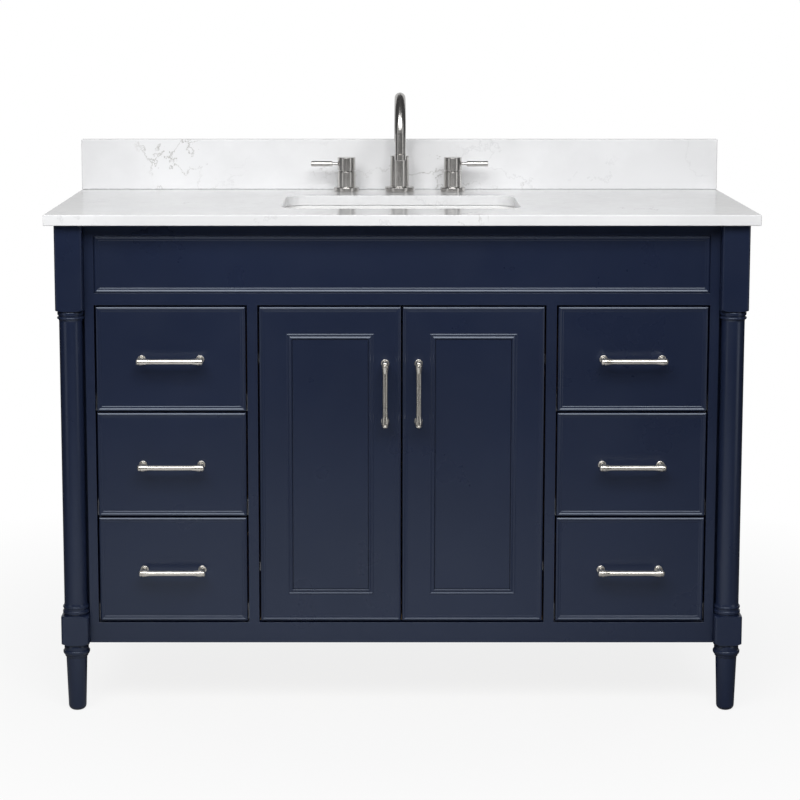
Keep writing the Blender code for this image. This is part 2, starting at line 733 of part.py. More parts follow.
def build_drawers(pull):
    for side_name, side in SIDES:
        x = side * DRAWER_BAY_X
        top = OPENING_TOP - REVEAL
        for level in DRAWERS:
            extra = BOTTOM_FRONT_EXTRA if level == DRAWERS[-1] else 0
            bottom = top - FRONT_HEIGHT - extra
            name = f"{side_name}_{level}"
            front = add(
                f"drawer_front_{name}",
                box_mesh(
                    f"drawer_front_{name}",
                    (x - FRONT_WIDTH / 2, FACE_Y, bottom),
                    (x + FRONT_WIDTH / 2, FACE_BACK_Y, top),
                ),
                "navy_paint",
            )
            bevel(front, FRONT_EDGE)
            runner_z = bottom - REVEAL + 2 * FIT
            drawer_runner(f"drawer_runner_{name}", side, runner_z)
            box = drawer_box(f"drawer_box_{name}", x, runner_z + RUNNER_BASE + RUNNING_PLAY)
            handle = add(
                f"drawer_pull_{name}", pull, "brushed_nickel", (x, FACE_Y, (bottom + top) / 2)
            )
            pivot = add_pivot(f"drawer_slide_{name}", (x, FACE_Y, (bottom + top) / 2))
            hang_on(pivot, front, box, handle)
            top = bottom - REVEAL


# ---------------------------------------------------------------- top and basin
def build_top():
    half = TOP_WIDTH / 2
    low = (-half, EDGE_Y, BODY_HEIGHT)
    top = add("countertop", box_mesh("countertop", low, (half, WALL_Y, TOP_Z)), "quartz")
    bevel(top, TOP_EASE)
    rings = [
        [
            (x, y + SINK_Y, z)
            for x, y, z in rounded_ring(SINK_WIDTH / 2, SINK_DEPTH / 2, SINK_CORNER, height)
        ]
        for height in (BODY_HEIGHT - CUTTER_PAST, TOP_Z + CUTTER_PAST)
    ]
    boolean(top, helper("sink_cutout", loft_mesh("sink_cutout", rings)), "DIFFERENCE")
    for place, x in (("left", -HANDLE_FROM_SPOUT), ("middle", 0), ("right", HANDLE_FROM_SPOUT)):
        cut_bore(
            top,
            f"faucet_hole_{place}",
            SHANK_HOLE_RADIUS,
            x,
            FAUCET_Y,
            BODY_HEIGHT - CUTTER_PAST,
            TOP_Z + CUTTER_PAST,
        )
    low = (-half, WALL_Y - SPLASH_THICKNESS, TOP_Z + FIT)
    high = (half, WALL_Y, TOP_Z + SPLASH_HEIGHT)
    splash = add("backsplash", box_mesh("backsplash", low, high), "quartz")
    bevel(splash, TOP_EASE)


def build_basin():
    """A bowl with a flange under the top, and the drain in its floor."""
    half_x = SINK_WIDTH / 2 + SINK_SETBACK
    half_y = SINK_DEPTH / 2 + SINK_SETBACK
    corner = SINK_CORNER + SINK_SETBACK
    floor = SINK_FLOOR_Z
    turn = floor + SINK_FLOOR_ROUND
    land = floor - SINK_FLOOR_FALL
    bore = DRAIN_RADIUS + FIT
    low_x = half_x - SINK_TAPER
    low_y = half_y - SINK_TAPER
    mid_x = low_x - SINK_FLOOR_ROUND
    mid_y = low_y - SINK_FLOOR_ROUND
    arc = SINK_FLOOR_ROUND * math.sin(math.pi / 4)
    shelf = BODY_TOP - SINK_FLANGE_THICKNESS
    out = SINK_WALL
    rings = [
        rounded_ring(half_x, half_y, corner, BODY_TOP),
        rounded_ring(low_x, low_y, corner, turn),
        rounded_ring(mid_x + arc, mid_y + arc, corner, turn - arc),
        rounded_ring(mid_x, mid_y, corner, floor),
        round_ring(DRAIN_LAND, land),
        round_ring(bore, land),
        round_ring(bore, land - out),
        round_ring(DRAIN_LAND, land - out),
        rounded_ring(mid_x, mid_y, corner, floor - out),
        rounded_ring(low_x + out, low_y + out, corner + out, turn - out),
        rounded_ring(half_x + out, half_y + out, corner + out, shelf),
        rounded_ring(half_x + SINK_FLANGE, half_y + SINK_FLANGE, corner + SINK_FLANGE, shelf),
        rounded_ring(half_x + SINK_FLANGE, half_y + SINK_FLANGE, corner + SINK_FLANGE, BODY_TOP),
    ]
    mesh = loft_mesh("sink_basin", rings, looped=True)
    mesh.shade_smooth()
    mesh.set_sharp_from_angle(angle=CREASE_ANGLE)
    add("sink_basin", mesh, "porcelain", (0, SINK_Y, 0))
    flange = land + FIT
    rings = [
        round_ring(DRAIN_BORE, flange + DRAIN_FLANGE),
        round_ring(DRAIN_FLANGE_RADIUS, flange + DRAIN_FLANGE),
        round_ring(DRAIN_FLANGE_RADIUS, flange),
        round_ring(DRAIN_RADIUS, flange),
        round_ring(DRAIN_RADIUS, flange - DRAIN_TAIL),
        round_ring(DRAIN_BORE, flange - DRAIN_TAIL),
    ]
    mesh = loft_mesh("sink_drain", rings, looped=True)
    add("sink_drain", mesh, "brushed_nickel", (0, SINK_Y, 0))


# ---------------------------------------------------------------- faucet
def base_profile(height, radius, flange_radius, flange):
    """A flanged body that stands on the stone, over the shank that goes through it."""
    return [
        (0, height),
        (radius - EASE, height),
        (radius, height - EASE),
        (radius, flange + EASE),
        (radius + EASE, flange),
        (flange_radius - EASE, flange),
        (flange_radius, flange - EASE),
        (flange_radius, FIT),
        (SHANK_RADIUS, FIT),
        (SHANK_RADIUS, -SHANK_LENGTH),
        (0, -SHANK_LENGTH),
    ]


def spout_mesh():
    """A tube that rises from the base, turns over in a half circle and ends in the aerator."""
    bend_z = SPOUT_HEIGHT - SPOUT_TUBE_RADIUS - SPOUT_BEND_RADIUS
    points = [(0, SPOUT_BASE_HEIGHT + FIT, 1)]
    for step in range(TURN_STEPS + 1):
        angle = math.pi * step / TURN_STEPS
        y = -SPOUT_BEND_RADIUS * (1 - math.cos(angle))
        points.append((y, bend_z + SPOUT_BEND_RADIUS * math.sin(angle), 1))
    reach = -2 * SPOUT_BEND_RADIUS
    aerator = SPOUT_OUTLET_HEIGHT + AERATOR_LENGTH
    points.append((reach, aerator + EASE, 1))
    points.append((reach, aerator, AERATOR_SWELL))
    points.append((reach, SPOUT_OUTLET_HEIGHT, AERATOR_SWELL))
    curve = bpy.data.curves.new("spout", "CURVE")
    curve.dimensions = "3D"
    curve.bevel_depth = SPOUT_TUBE_RADIUS
    curve.bevel_resolution = TUBE_ROUNDNESS
    curve.use_fill_caps = True
    spline = curve.splines.new("POLY")
    spline.points.add(len(points) - 1)
    for point, (y, z, swell) in zip(spline.points, points):
        point.co = (0, y, z, 1)
        point.radius = swell
    mesh = baked_mesh(helper("spout_path", curve))
    mesh.materials.clear()
    mesh.shade_smooth()
    mesh.set_sharp_from_angle(angle=CREASE_ANGLE)
    return mesh


def lever_mesh():
    """A hub with a lever that points along +X, on the handle's axis."""
    low = VALVE_HEIGHT + FIT
    hub_profile = [
        (0, HUB_TOP),
        (HUB_RADIUS - EASE, HUB_TOP),
        (HUB_RADIUS, HUB_TOP - EASE),
        (HUB_RADIUS, low + EASE),
        (HUB_RADIUS - EASE, low),
        (0, low),
    ]
    hub = helper("lever_hub", turned_mesh("lever_hub", hub_profile, TURN_STEPS))
    tip = HUB_RADIUS + LEVER_LENGTH
    grip = HUB_RADIUS + LEVER_NECK
    rod_profile = [
        (0, tip),
        (LEVER_RADIUS - EASE, tip),
        (LEVER_RADIUS, tip - EASE),
        (LEVER_RADIUS, grip + EASE),
        (LEVER_NECK_RADIUS, grip),
        (LEVER_NECK_RADIUS, HUB_RADIUS / 2),
        (0, HUB_RADIUS / 2),
    ]
    rod = helper("lever_rod", turned_mesh("lever_rod", rod_profile, SMALL_TURN_STEPS))
    place = Matrix.Translation((0, 0, LEVER_HEIGHT)) @ Matrix.Rotation(math.pi / 2, 4, "Y")
    rod.data.transform(place)
    boolean(hub, rod, "UNION")
    mesh = baked_mesh(hub)
    mesh.materials.clear()
    return mesh


def build_faucet():
    place = (0, FAUCET_Y, TOP_Z)
    profile = base_profile(
        SPOUT_BASE_HEIGHT, SPOUT_BASE_RADIUS, SPOUT_FLANGE_RADIUS, SPOUT_FLANGE
    )
    add("faucet_body", turned_mesh("faucet_body", profile, TURN_STEPS), "brushed_nickel", place)
    add("faucet_spout", spout_mesh(), "brushed_nickel", place)
    profile = base_profile(VALVE_HEIGHT, VALVE_RADIUS, VALVE_FLANGE_RADIUS, VALVE_FLANGE)
    valve = turned_mesh("valve_body", profile, TURN_STEPS)
    lever = lever_mesh()
    for side_name, side in SIDES:
        place = (side * HANDLE_FROM_SPOUT, FAUCET_Y, TOP_Z)
        add(f"valve_body_{side_name}", valve, "brushed_nickel", place)
        turn = 0 if side > 0 else math.pi
        add(f"faucet_lever_{side_name}", lever, "brushed_nickel", place, turn)


def main():
    clear_scene()
    build_legs()
    build_face_frame()
    build_carcass()
    pull = pull_mesh()
    build_doors(pull)
    build_drawers(pull)
    build_top()
    build_basin()
    build_faucet()


main()
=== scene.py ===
"""Looks of a bathroom vanity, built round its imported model.

A navy cabinet on four turned legs carries two doors, six drawers, a stone top with a backsplash, an
undermount basin and a three-piece faucet. Metres, +Z up, and the front faces -Y.
"""

import json
import logging
import math
from dataclasses import dataclass
from enum import Enum
from typing import Any, Sequence

import bmesh
import bpy
from bmesh import ops
from bmesh.types import BMEdge, BMesh, BMFace, BMVert
from mathutils import Matrix, Vector

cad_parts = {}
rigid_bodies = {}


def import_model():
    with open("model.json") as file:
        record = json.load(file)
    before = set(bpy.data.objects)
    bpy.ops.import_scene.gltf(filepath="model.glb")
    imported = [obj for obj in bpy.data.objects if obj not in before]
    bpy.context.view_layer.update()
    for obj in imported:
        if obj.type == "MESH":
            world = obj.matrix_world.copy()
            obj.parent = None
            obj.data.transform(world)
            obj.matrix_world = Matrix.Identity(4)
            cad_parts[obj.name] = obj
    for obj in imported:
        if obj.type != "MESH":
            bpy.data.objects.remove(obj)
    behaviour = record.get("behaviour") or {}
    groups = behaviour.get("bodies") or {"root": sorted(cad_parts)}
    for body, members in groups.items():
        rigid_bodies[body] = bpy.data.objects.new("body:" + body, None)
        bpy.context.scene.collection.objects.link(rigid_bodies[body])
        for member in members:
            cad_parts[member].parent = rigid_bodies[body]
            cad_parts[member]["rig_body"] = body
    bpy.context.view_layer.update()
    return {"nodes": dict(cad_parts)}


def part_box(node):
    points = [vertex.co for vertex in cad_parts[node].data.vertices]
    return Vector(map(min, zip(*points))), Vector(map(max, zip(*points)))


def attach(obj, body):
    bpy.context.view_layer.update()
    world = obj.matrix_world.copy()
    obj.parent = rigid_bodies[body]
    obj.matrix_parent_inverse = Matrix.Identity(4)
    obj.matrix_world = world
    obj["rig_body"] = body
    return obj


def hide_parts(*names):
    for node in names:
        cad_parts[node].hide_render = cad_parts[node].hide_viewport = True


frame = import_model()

LOG = logging.getLogger("vanity")

MERGE = 0.000002
SEAT_GAP = 0.0003
CREASE = math.radians(34)
FLAT = math.radians(1)
SHARP = math.radians(40)
QUARTER = math.pi / 2
ROUNDING_STEPS = 5
FINE_TURN = 72
SMALL_TURN = 32

Colour = tuple[float, float, float]
Place = tuple[float, float, float]
Stops = Sequence[tuple[float, Colour]]
Profile = tuple[tuple[float, ...], ...]
Row = tuple[Vector, float, float]


class Side(Enum):
    """The two sides of the cabinet, with the sign of X on each."""

    LEFT = -1
    RIGHT = 1

    @property
    def word(self) -> str:
        """The side's name as the nodes spell it."""
        return self.name.lower()


class Level(Enum):
    """The three rows of drawers."""

    TOP = "top"
    MIDDLE = "middle"
    BOTTOM = "bottom"


class Cut(Enum):
    """How a second solid shapes a first one."""

    REMOVE = "DIFFERENCE"
    COMMON = "INTERSECT"


class Grain(Enum):
    """Which way a brushed metal or a board is streaked, as noise stretches along X, Y and Z."""

    UPRIGHT = (420.0, 420.0, 4.0)
    ALONG_X = (9.0, 900.0, 900.0)
    ALONG_Y = (900.0, 9.0, 900.0)
    ALONG_Z = (900.0, 900.0, 9.0)


HINGE_ENDS = ("upper", "lower")
DRAWERS = [f"{side.word}_{level.value}" for side in Side for level in Level]


# ---------------------------------------------------------------- finishes
class Recipe:
    """A material in the making, with short calls for the nodes that its finish needs."""

    def __init__(self, name: str) -> None:
        """Starts a material.

        Args:
            name: the material's name.
        """
        self.material = bpy.data.materials.new(name)
        self.material.use_nodes = True
        self.nodes = self.material.node_tree.nodes
        self.links = self.material.node_tree.links
        self.shader = self.nodes["Principled BSDF"]
        self.place = self.nodes.new("ShaderNodeTexCoord").outputs["Object"]

    def join(self, source: Any, socket: Any) -> None:
        """Links an output to a socket, or sets the socket to a plain value.

        Args:
            source: socket, number, vector or plain colour.
            socket: the input that takes it.
        """
        if isinstance(source, bpy.types.NodeSocket):
            self.links.new(source, socket)
        elif socket.type == "RGBA":
            socket.default_value = (*source, 1)
        else:
            socket.default_value = source

    def fill(self, node: Any, **values: Any) -> None:
        """Sets or links a node's inputs.

        Args:
            node: the node.
            values: sources by the input's name, in lower case with underscores.
        """
        sockets = {s.name.lower().replace(" ", "_"): s for s in reversed(node.inputs[:])}
        for name, source in values.items():
            self.join(source, sockets[name])

    def set(self, **values: Any) -> None:
        """Sets or links the shader's inputs."""
        self.fill(self.shader, **values)

    def node(self, kind: str, *sources: Any, mode: str = "", **values: Any) -> Any:
        """Adds a node.

        Args:
            kind: its type, without what all shader nodes' types start with.
            sources: what its first inputs take, in order.
            mode: its operation, if it has one.
            values: what its other inputs take, as for fill.

        Returns:
            Its first output socket.
        """
        node = self.nodes.new("ShaderNode" + kind)
        if mode:
            node.operation = mode
        for source, socket in zip(sources, node.inputs):
            self.join(source, socket)
        self.fill(node, **values)
        return node.outputs[0]

    def stretched(self, scale: Sequence[float], shift: Sequence[float] = (0, 0, 0)) -> Any:
        """Object coordinates, scaled along each axis and then shifted."""
        return self.node("Mapping", self.place, scale=scale, location=shift)

    def noise(self, at: Any, scale: float, detail: float = 2.0, rough: float = 0.5,
              bend: float = 0.0) -> Any:
        """A noise pattern's factor, with a scale in cells for each metre of the vector it reads."""
        return self.node("TexNoise", vector=at, scale=scale, detail=detail, roughness=rough,
                         distortion=bend)

    def ramp(self, factor: Any, stops: Stops) -> Any:
        """Colours set along a factor.

        Args:
            factor: the socket to colour.
            stops: (place, colour) pairs in rising order.

        Returns:
            The colour socket.
        """
        colour = self.node("ValToRGB", factor)
        marks = colour.node.color_ramp.elements
        while len(marks) < len(stops):
            marks.new(0.5)
        for mark, (place, shade) in zip(marks, stops):
            mark.position = place
            mark.color = (*shade, 1)
        return colour

    def spread(self, factor: Any, low: float, high: float, start: float = 0.25,
               end: float = 0.75) -> Any:
        """A factor spread from low, at its start and below, to high, at its end and above."""
        return self.node("MapRange", factor, start, end, low, high)

    def reckoned(self, mode: str, first: Any, second: Any = 0.0) -> Any:
        """One step of arithmetic on sockets or numbers, with the Math node's operation."""
        return self.node("Math", first, second, mode=mode)

    def distance(self, at: Any) -> Any:
        """The length of a vector socket."""
        return self.node("VectorMath", at, mode="LENGTH").node.outputs["Value"]

    def blend(self, factor: Any, first: Any, second: Any) -> Any:
        """Two colours mixed.

        Args:
            factor: share of the second colour.
            first: colour socket or plain colour.
            second: colour socket or plain colour.

        Returns:
            The colour socket.
        """
        node = self.nodes.new("ShaderNodeMix")
        node.data_type = "RGBA"
        for source, socket in zip((factor, first, second), (0, 6, 7)):
            self.join(source, node.inputs[socket])
        return node.outputs[2]

    def bump(self, height: Any, depth: float, strength: float) -> None:
        """Gives the surface small heights, depth metres from the lowest to the highest."""
        self.set(normal=self.node("Bump", height=height, distance=depth, strength=strength))


@dataclass(frozen=True)
class Finish:
    """A finish: the name of its material and the record's slot that it belongs to."""

    name: str
    slot: str

    def mix(self, recipe: Recipe) -> None:
        """Fills the recipe; each finish has its own way."""
        raise NotImplementedError

    def material(self) -> bpy.types.Material:
        """The finish's material, made the first time it is asked for.

        Returns:
            The material.
        """
        if self.name not in bpy.data.materials:
            self.mix(Recipe(self.name))
        return bpy.data.materials[self.name]


@dataclass(frozen=True)
class SatinPaint(Finish):
    """Sprayed satin lacquer: an even deep colour with slow clouds and a fine skin."""

    deep: Colour = (0.0078, 0.0130, 0.0352)
    light: Colour = (0.0100, 0.0162, 0.0425)
    gloss: Colour = (0.80, 0.89, 1.0)
    reflection: float = 0.62
    smooth: float = 0.26
    rough: float = 0.33
    cloud_scale: float = 2.3
    sheen_scale: float = 11.0
    peel_scale: float = 620.0
    skin: float = 0.00003

    def mix(self, recipe: Recipe) -> None:
        """Fills the recipe with the lacquer's nodes.

        Args:
            recipe: the material in the making.
        """
        cloud = recipe.noise(recipe.place, self.cloud_scale, 4.0, 0.55)
        sheen = recipe.noise(recipe.place, self.sheen_scale, 4.0)
        recipe.set(
            base_color=recipe.ramp(cloud, ((0.35, self.deep), (0.68, self.light))),
            roughness=recipe.spread(sheen, self.smooth, self.rough),
            specular_ior_level=self.reflection,
            specular_tint=self.gloss,
        )
        recipe.bump(recipe.noise(recipe.place, self.peel_scale), self.skin, 0.5)


@dataclass(frozen=True)
class Vein:
    """One family of veins: thin wandering lines, broken up by a mask."""

    colour: Colour
    strength: float
    scale: float
    half: float
    mask_scale: float
    mask_start: float
    mask_fade: float = 0.10

    def lines(self, recipe: Recipe) -> Any:
        """The veins' pattern.

        Args:
            recipe: the material in the making.

        Returns:
            The factor socket, highest in the middle of a line.
        """
        field = recipe.noise(recipe.place, self.scale, 9.0, 0.62, 0.35)
        away = recipe.reckoned("ABSOLUTE", recipe.reckoned("SUBTRACT", field, 0.5))
        line = recipe.spread(away, 1.0, 0.0, 0.0, self.half)
        patch = recipe.noise(recipe.place, self.mask_scale)
        mask = recipe.spread(patch, 0.0, 1.0, self.mask_start, self.mask_start + self.mask_fade)
        return recipe.reckoned("MULTIPLY", recipe.reckoned("MULTIPLY", line, mask), self.strength)


@dataclass(frozen=True)
class VeinedStone(Finish):
    """Polished engineered stone: soft white clouds, fine grains and thin broken veins."""

    white: Colour = (0.86, 0.863, 0.872)
    cloud: Colour = (0.80, 0.803, 0.812)
    cloud_scale: float = 5.0
    grain_scale: float = 480.0
    polish_scale: float = 60.0
    smooth: float = 0.085
    rough: float = 0.13
    ior: float = 1.55
    veins: tuple[Vein, ...] = (
        Vein((0.60, 0.60, 0.61), 0.45, 5.5, 0.00924, 6.5, 0.50),
        Vein((0.33, 0.32, 0.30), 0.75, 3.2, 0.0042, 5.0, 0.53),
    )

    def mix(self, recipe: Recipe) -> None:
        """Fills the recipe with the stone's nodes.

        Args:
            recipe: the material in the making.
        """
        clouds = recipe.noise(recipe.place, self.cloud_scale, 5.0, 0.6)
        grains = recipe.spread(recipe.noise(recipe.place, self.grain_scale), 0.0, 0.05, 0.55, 0.70)
        body = recipe.ramp(clouds, ((0.38, self.cloud), (0.60, self.white)))
        body = recipe.blend(grains, body, self.cloud)
        for vein in self.veins:
            body = recipe.blend(vein.lines(recipe), body, vein.colour)
        polish = recipe.noise(recipe.place, self.polish_scale, 3.0)
        recipe.set(base_color=body, roughness=recipe.spread(polish, self.smooth, self.rough),
                   ior=self.ior)


@dataclass(frozen=True)
class Glaze(Finish):
    """White vitreous glaze over clay, with a slight wave in its gloss."""

    white: Colour = (0.90, 0.90, 0.895)
    warm: Colour = (0.865, 0.865, 0.86)
    cloud_scale: float = 7.0
    gloss_scale: float = 25.0
    wave_scale: float = 45.0
    wave: float = 0.00006
    coat: float = 0.5
    coat_roughness: float = 0.03

    def mix(self, recipe: Recipe) -> None:
        """Fills the recipe with the glaze's nodes.

        Args:
            recipe: the material in the making.
        """
        cloud = recipe.noise(recipe.place, self.cloud_scale, 3.0)
        recipe.set(
            base_color=recipe.ramp(cloud, ((0.35, self.warm), (0.65, self.white))),
            roughness=recipe.spread(recipe.noise(recipe.place, self.gloss_scale), 0.05, 0.10),
            coat_weight=self.coat,
            coat_roughness=self.coat_roughness,
        )
        recipe.bump(recipe.noise(recipe.place, self.wave_scale), self.wave, 0.4)


@dataclass(frozen=True)
class BrushedMetal(Finish):
    """Brushed plate: fine streaks that change the tone, the gloss and the surface."""

    dark: Colour = (0.47, 0.456, 0.438)
    light: Colour = (0.70, 0.685, 0.664)
    grain: Grain = Grain.UPRIGHT
    smooth: float = 0.26
    rough: float = 0.38
    scratch: float = 0.000004
    brushed: float = 0.0
    across: float = 0.25
    smudge_scale: float = 30.0

    def mix(self, recipe: Recipe) -> None:
        """Fills the recipe with the metal's nodes.

        Args:
            recipe: the material in the making.
        """
        streak = recipe.noise(recipe.stretched(self.grain.value), 1.0, 4.0, 0.65)
        smudge = recipe.reckoned("ADD", recipe.noise(recipe.place, self.smudge_scale, 3.0), 0.5)
        recipe.set(
            base_color=recipe.ramp(streak, ((0.30, self.dark), (0.70, self.light))),
            roughness=recipe.spread(recipe.reckoned("MULTIPLY", streak, smudge),
                                    self.smooth, self.rough),
            metallic=1.0,
            anisotropic=self.brushed,
            anisotropic_rotation=self.across,
        )
        recipe.bump(streak, self.scratch, 0.6)


@dataclass(frozen=True)
class Board(Finish):
    """Clear-finished birch plywood: long pale grain with darker early wood and small pores."""

    pale: Colour = (0.60, 0.43, 0.26)
    dark: Colour = (0.42, 0.27, 0.145)
    grain: Grain = Grain.ALONG_Y
    coarse: float = 0.022
    figure_scale: float = 3.4
    smooth: float = 0.42
    rough: float = 0.58
    pore: float = 0.00008

    def mix(self, recipe: Recipe) -> None:
        """Fills the recipe with the board's nodes.

        Args:
            recipe: the material in the making.
        """
        stretch = [factor * self.coarse for factor in self.grain.value]
        figure = recipe.noise(recipe.stretched(stretch), self.figure_scale, 6.0, 0.6, 1.4)
        fibre = recipe.noise(recipe.stretched(self.grain.value), 1.0, 3.0, 0.6)
        tone = recipe.ramp(figure, ((0.32, self.dark), (0.50, self.pale), (0.72, self.dark)))
        tone = recipe.blend(recipe.spread(fibre, 0.0, 0.35, 0.45, 0.75), tone, self.dark)
        recipe.set(base_color=tone, roughness=recipe.spread(fibre, self.smooth, self.rough))
        recipe.bump(fibre, self.pore, 0.5)


NAVY = SatinPaint("navy_satin_paint", "navy_paint")
STONE = VeinedStone("veined_quartz", "quartz_top")
GLAZE = Glaze("white_glaze", "porcelain")
FAUCET_METAL = BrushedMetal(
    "brushed_nickel_turned", "brushed_nickel", smooth=0.17, rough=0.27, brushed=0.6
)
PULL_LIGHT: Colour = (0.86, 0.83, 0.77)
PULL_DARK: Colour = (0.66, 0.63, 0.575)
PULL_METAL_X = BrushedMetal(
    "satin_nickel_across", "satin_nickel", PULL_DARK, PULL_LIGHT, Grain.ALONG_X, 0.23, 0.33
)
PULL_METAL_Z = BrushedMetal(
    "satin_nickel_upright", "satin_nickel", PULL_DARK, PULL_LIGHT, Grain.ALONG_Z, 0.23, 0.33
)
STEEL = BrushedMetal(
    "zinc_plated_steel", "zinc_steel", (0.40, 0.41, 0.42), (0.58, 0.59, 0.60), Grain.ALONG_Y,
    0.28, 0.42
)
BOX_WOOD = Board("birch_box", "birch_ply")
PANEL_WOOD = Board("birch_panel", "inner_panel", grain=Grain.ALONG_X)
UPRIGHT_WOOD = Board("birch_upright", "inner_panel", grain=Grain.ALONG_Z)


# ---------------------------------------------------------------- shaping
@dataclass(frozen=True)
class Corner:
    """A corner of a turned outline, at a radius and a height, with a rounding."""

    radius: float
    height: float
    rounding: float = 0.0


def meshed(shape: BMesh, name: str) -> bpy.types.Mesh:
    """Turns a bmesh into a mesh and frees it.

    Args:
        shape: the bmesh.
        name: the mesh's name.

    Returns:
        The mesh.
    """
    mesh = bpy.data.meshes.new(name)
    shape.to_mesh(mesh)
    shape.free()
    return mesh


def shown(name: str, data: Any) -> bpy.types.Object:
    """Puts an object in the scene.

    Args:
        name: the object's name.
        data: its mesh, light or camera.

    Returns:
        The object.
    """
    made = bpy.data.objects.new(name, data)
    bpy.context.scene.collection.objects.link(made)
    return made


def traced(profile: Profile, start: float) -> list[Corner]:
    """The corners of a stretch of outline, whose heights are measured from a start."""
    return [Corner(radius, start + rise, *rounding) for radius, rise, *rounding in profile]


def extent(node: str) -> tuple[Vector, Vector, Vector]:
    """The lowest corner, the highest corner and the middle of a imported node's box."""
    low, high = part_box(node)
    return low, high, (low + high) / 2


def block(low: Sequence[float], high: Sequence[float]) -> BMesh:
    """A rectangular block.

    Args:
        low: its lowest corner.
        high: its highest corner.

    Returns:
        The block's bmesh.
    """
    shape = bmesh.new()
    ops.create_cube(shape, size=1)
    ops.scale(shape, vec=Vector(high) - Vector(low), verts=shape.verts)
    ops.translate(shape, vec=(Vector(high) + Vector(low)) / 2, verts=shape.verts)
    return shape


def closed(shape: BMesh) -> BMesh:
    """Merges doubled points and turns the faces outwards.

    Args:
        shape: the bmesh to close.

    Returns:
        The same bmesh.
    """
    ops.remove_doubles(shape, verts=shape.verts, dist=MERGE)
    ops.recalc_face_normals(shape, faces=shape.faces)
    return shape


def rounded(shape: BMesh, parts: list[Any], size: float, steps: int, kind: str = "EDGES") -> BMesh:
    """Rounds edges or corners.

    Args:
        shape: the bmesh to round.
        parts: the edges or corners.
        size: size of the rounding.
        steps: facets across it.
        kind: EDGES or VERTICES.

    Returns:
        The same bmesh.
    """
    ops.bevel(shape, geom=parts, offset=size, offset_type="OFFSET", segments=steps,
              profile=0.5, affect=kind, material=-1, clamp_overlap=True)
    return shape


def eased(shape: BMesh, width: float, steps: int = 2, over: float = SHARP) -> BMesh:
    """Rounds the edges whose faces meet at more than an angle."""
    edges = [e for e in shape.edges if e.is_manifold and e.calc_face_angle(0) > over]
    return rounded(shape, edges, width, steps)


def turned(corners: Sequence[Corner], steps: int = FINE_TURN) -> BMesh:
    """A body turned about Z from an outline that starts and ends on the axis or closes on itself.

    Args:
        corners: the outline's corners in order.
        steps: facets round the axis.

    Returns:
        The closed bmesh.
    """
    shape = bmesh.new()
    points = [shape.verts.new((corner.radius, 0, corner.height)) for corner in corners]
    for here, after in zip(points, points[1:]):
        shape.edges.new((here, after))
    for point, corner in zip(points, corners):
        if corner.rounding:
            rounded(shape, [point], corner.rounding, ROUNDING_STEPS, "VERTICES")
    ops.spin(shape, geom=shape.verts[:] + shape.edges[:], cent=(0, 0, 0), axis=(0, 0, 1),
             angle=math.tau, steps=steps, use_merge=True)
    return closed(shape)


def moved(shape: BMesh, place: Matrix) -> BMesh:
    """Puts a shape in its place and returns it."""
    ops.transform(shape, matrix=place, verts=shape.verts)
    return shape


def stood(corners: Sequence[Corner], middle: Vector) -> BMesh:
    """A finely turned body whose axis stands at a point in plan."""
    return moved(turned(corners), Matrix.Translation((middle.x, middle.y, 0)))


def cylinder(radius: float, length: float, steps: int, place: Matrix) -> BMesh:
    """A plain cylinder.

    Args:
        radius: its radius.
        length: its length, along Z until it is placed.
        steps: facets round it.
        place: the matrix that puts it in place.

    Returns:
        The closed bmesh.
    """
    shape = bmesh.new()
    ops.create_cone(shape, cap_ends=True, segments=steps, radius1=radius, radius2=radius,
                    depth=length)
    return moved(shape, place)


def joined(shape: BMesh, other: BMesh) -> BMesh:
    """Adds another shape to the first and frees it.

    Args:
        shape: the bmesh that takes it.
        other: the shape to add.

    Returns:
        The first bmesh.
    """
    mesh = meshed(other, "joined")
    shape.from_mesh(mesh)
    bpy.data.meshes.remove(mesh)
    return shape


def merged(mesh: bpy.types.Mesh) -> BMesh:
    """A copy of a mesh with its points merged and its flat faces whole.

    Args:
        mesh: the mesh to copy.

    Returns:
        A bmesh of the copy.
    """
    shape = bmesh.new()
    shape.from_mesh(mesh)
    ops.remove_doubles(shape, verts=shape.verts, dist=MERGE)
    ops.dissolve_limit(shape, angle_limit=FLAT, verts=shape.verts, edges=shape.edges)
    return shape


def carved(shape: BMesh, cutter: BMesh, cut: Cut) -> BMesh:
    """Shapes one solid with another.

    Args:
        shape: the solid to keep.
        cutter: the solid that cuts it.
        cut: what is kept.

    Returns:
        A new bmesh; both solids are freed.
    """
    objects = [shown("carving", meshed(solid, "carving")) for solid in (shape, cutter)]
    modifier = objects[0].modifiers.new("carve", "BOOLEAN")
    modifier.object = objects[1]
    modifier.operation = cut.value
    graph = bpy.context.evaluated_depsgraph_get()
    made = bpy.data.meshes.new_from_object(objects[0].evaluated_get(graph))
    result = merged(made)
    for mesh in [made] + [solid.data for solid in objects]:
        bpy.data.meshes.remove(mesh)
    return result


def rounded_plate(centre: Vector, half_x: float, half_y: float, corner: float, steps: int) -> BMesh:
    """A flat plate with round corners, facing up.

    Args:
        centre: its middle.
        half_x: half of its width.
        half_y: half of its depth.
        corner: radius of its corners.
        steps: facets in each corner.

    Returns:
        A bmesh of one face.
    """
    shape = bmesh.new()
    ops.create_grid(shape, x_segments=1, y_segments=1, size=1)
    ops.scale(shape, vec=(half_x, half_y, 1), verts=shape.verts)
    rounded(shape, shape.verts[:], corner, steps, "VERTICES")
    ops.translate(shape, vec=centre, verts=shape.verts)
    return shape


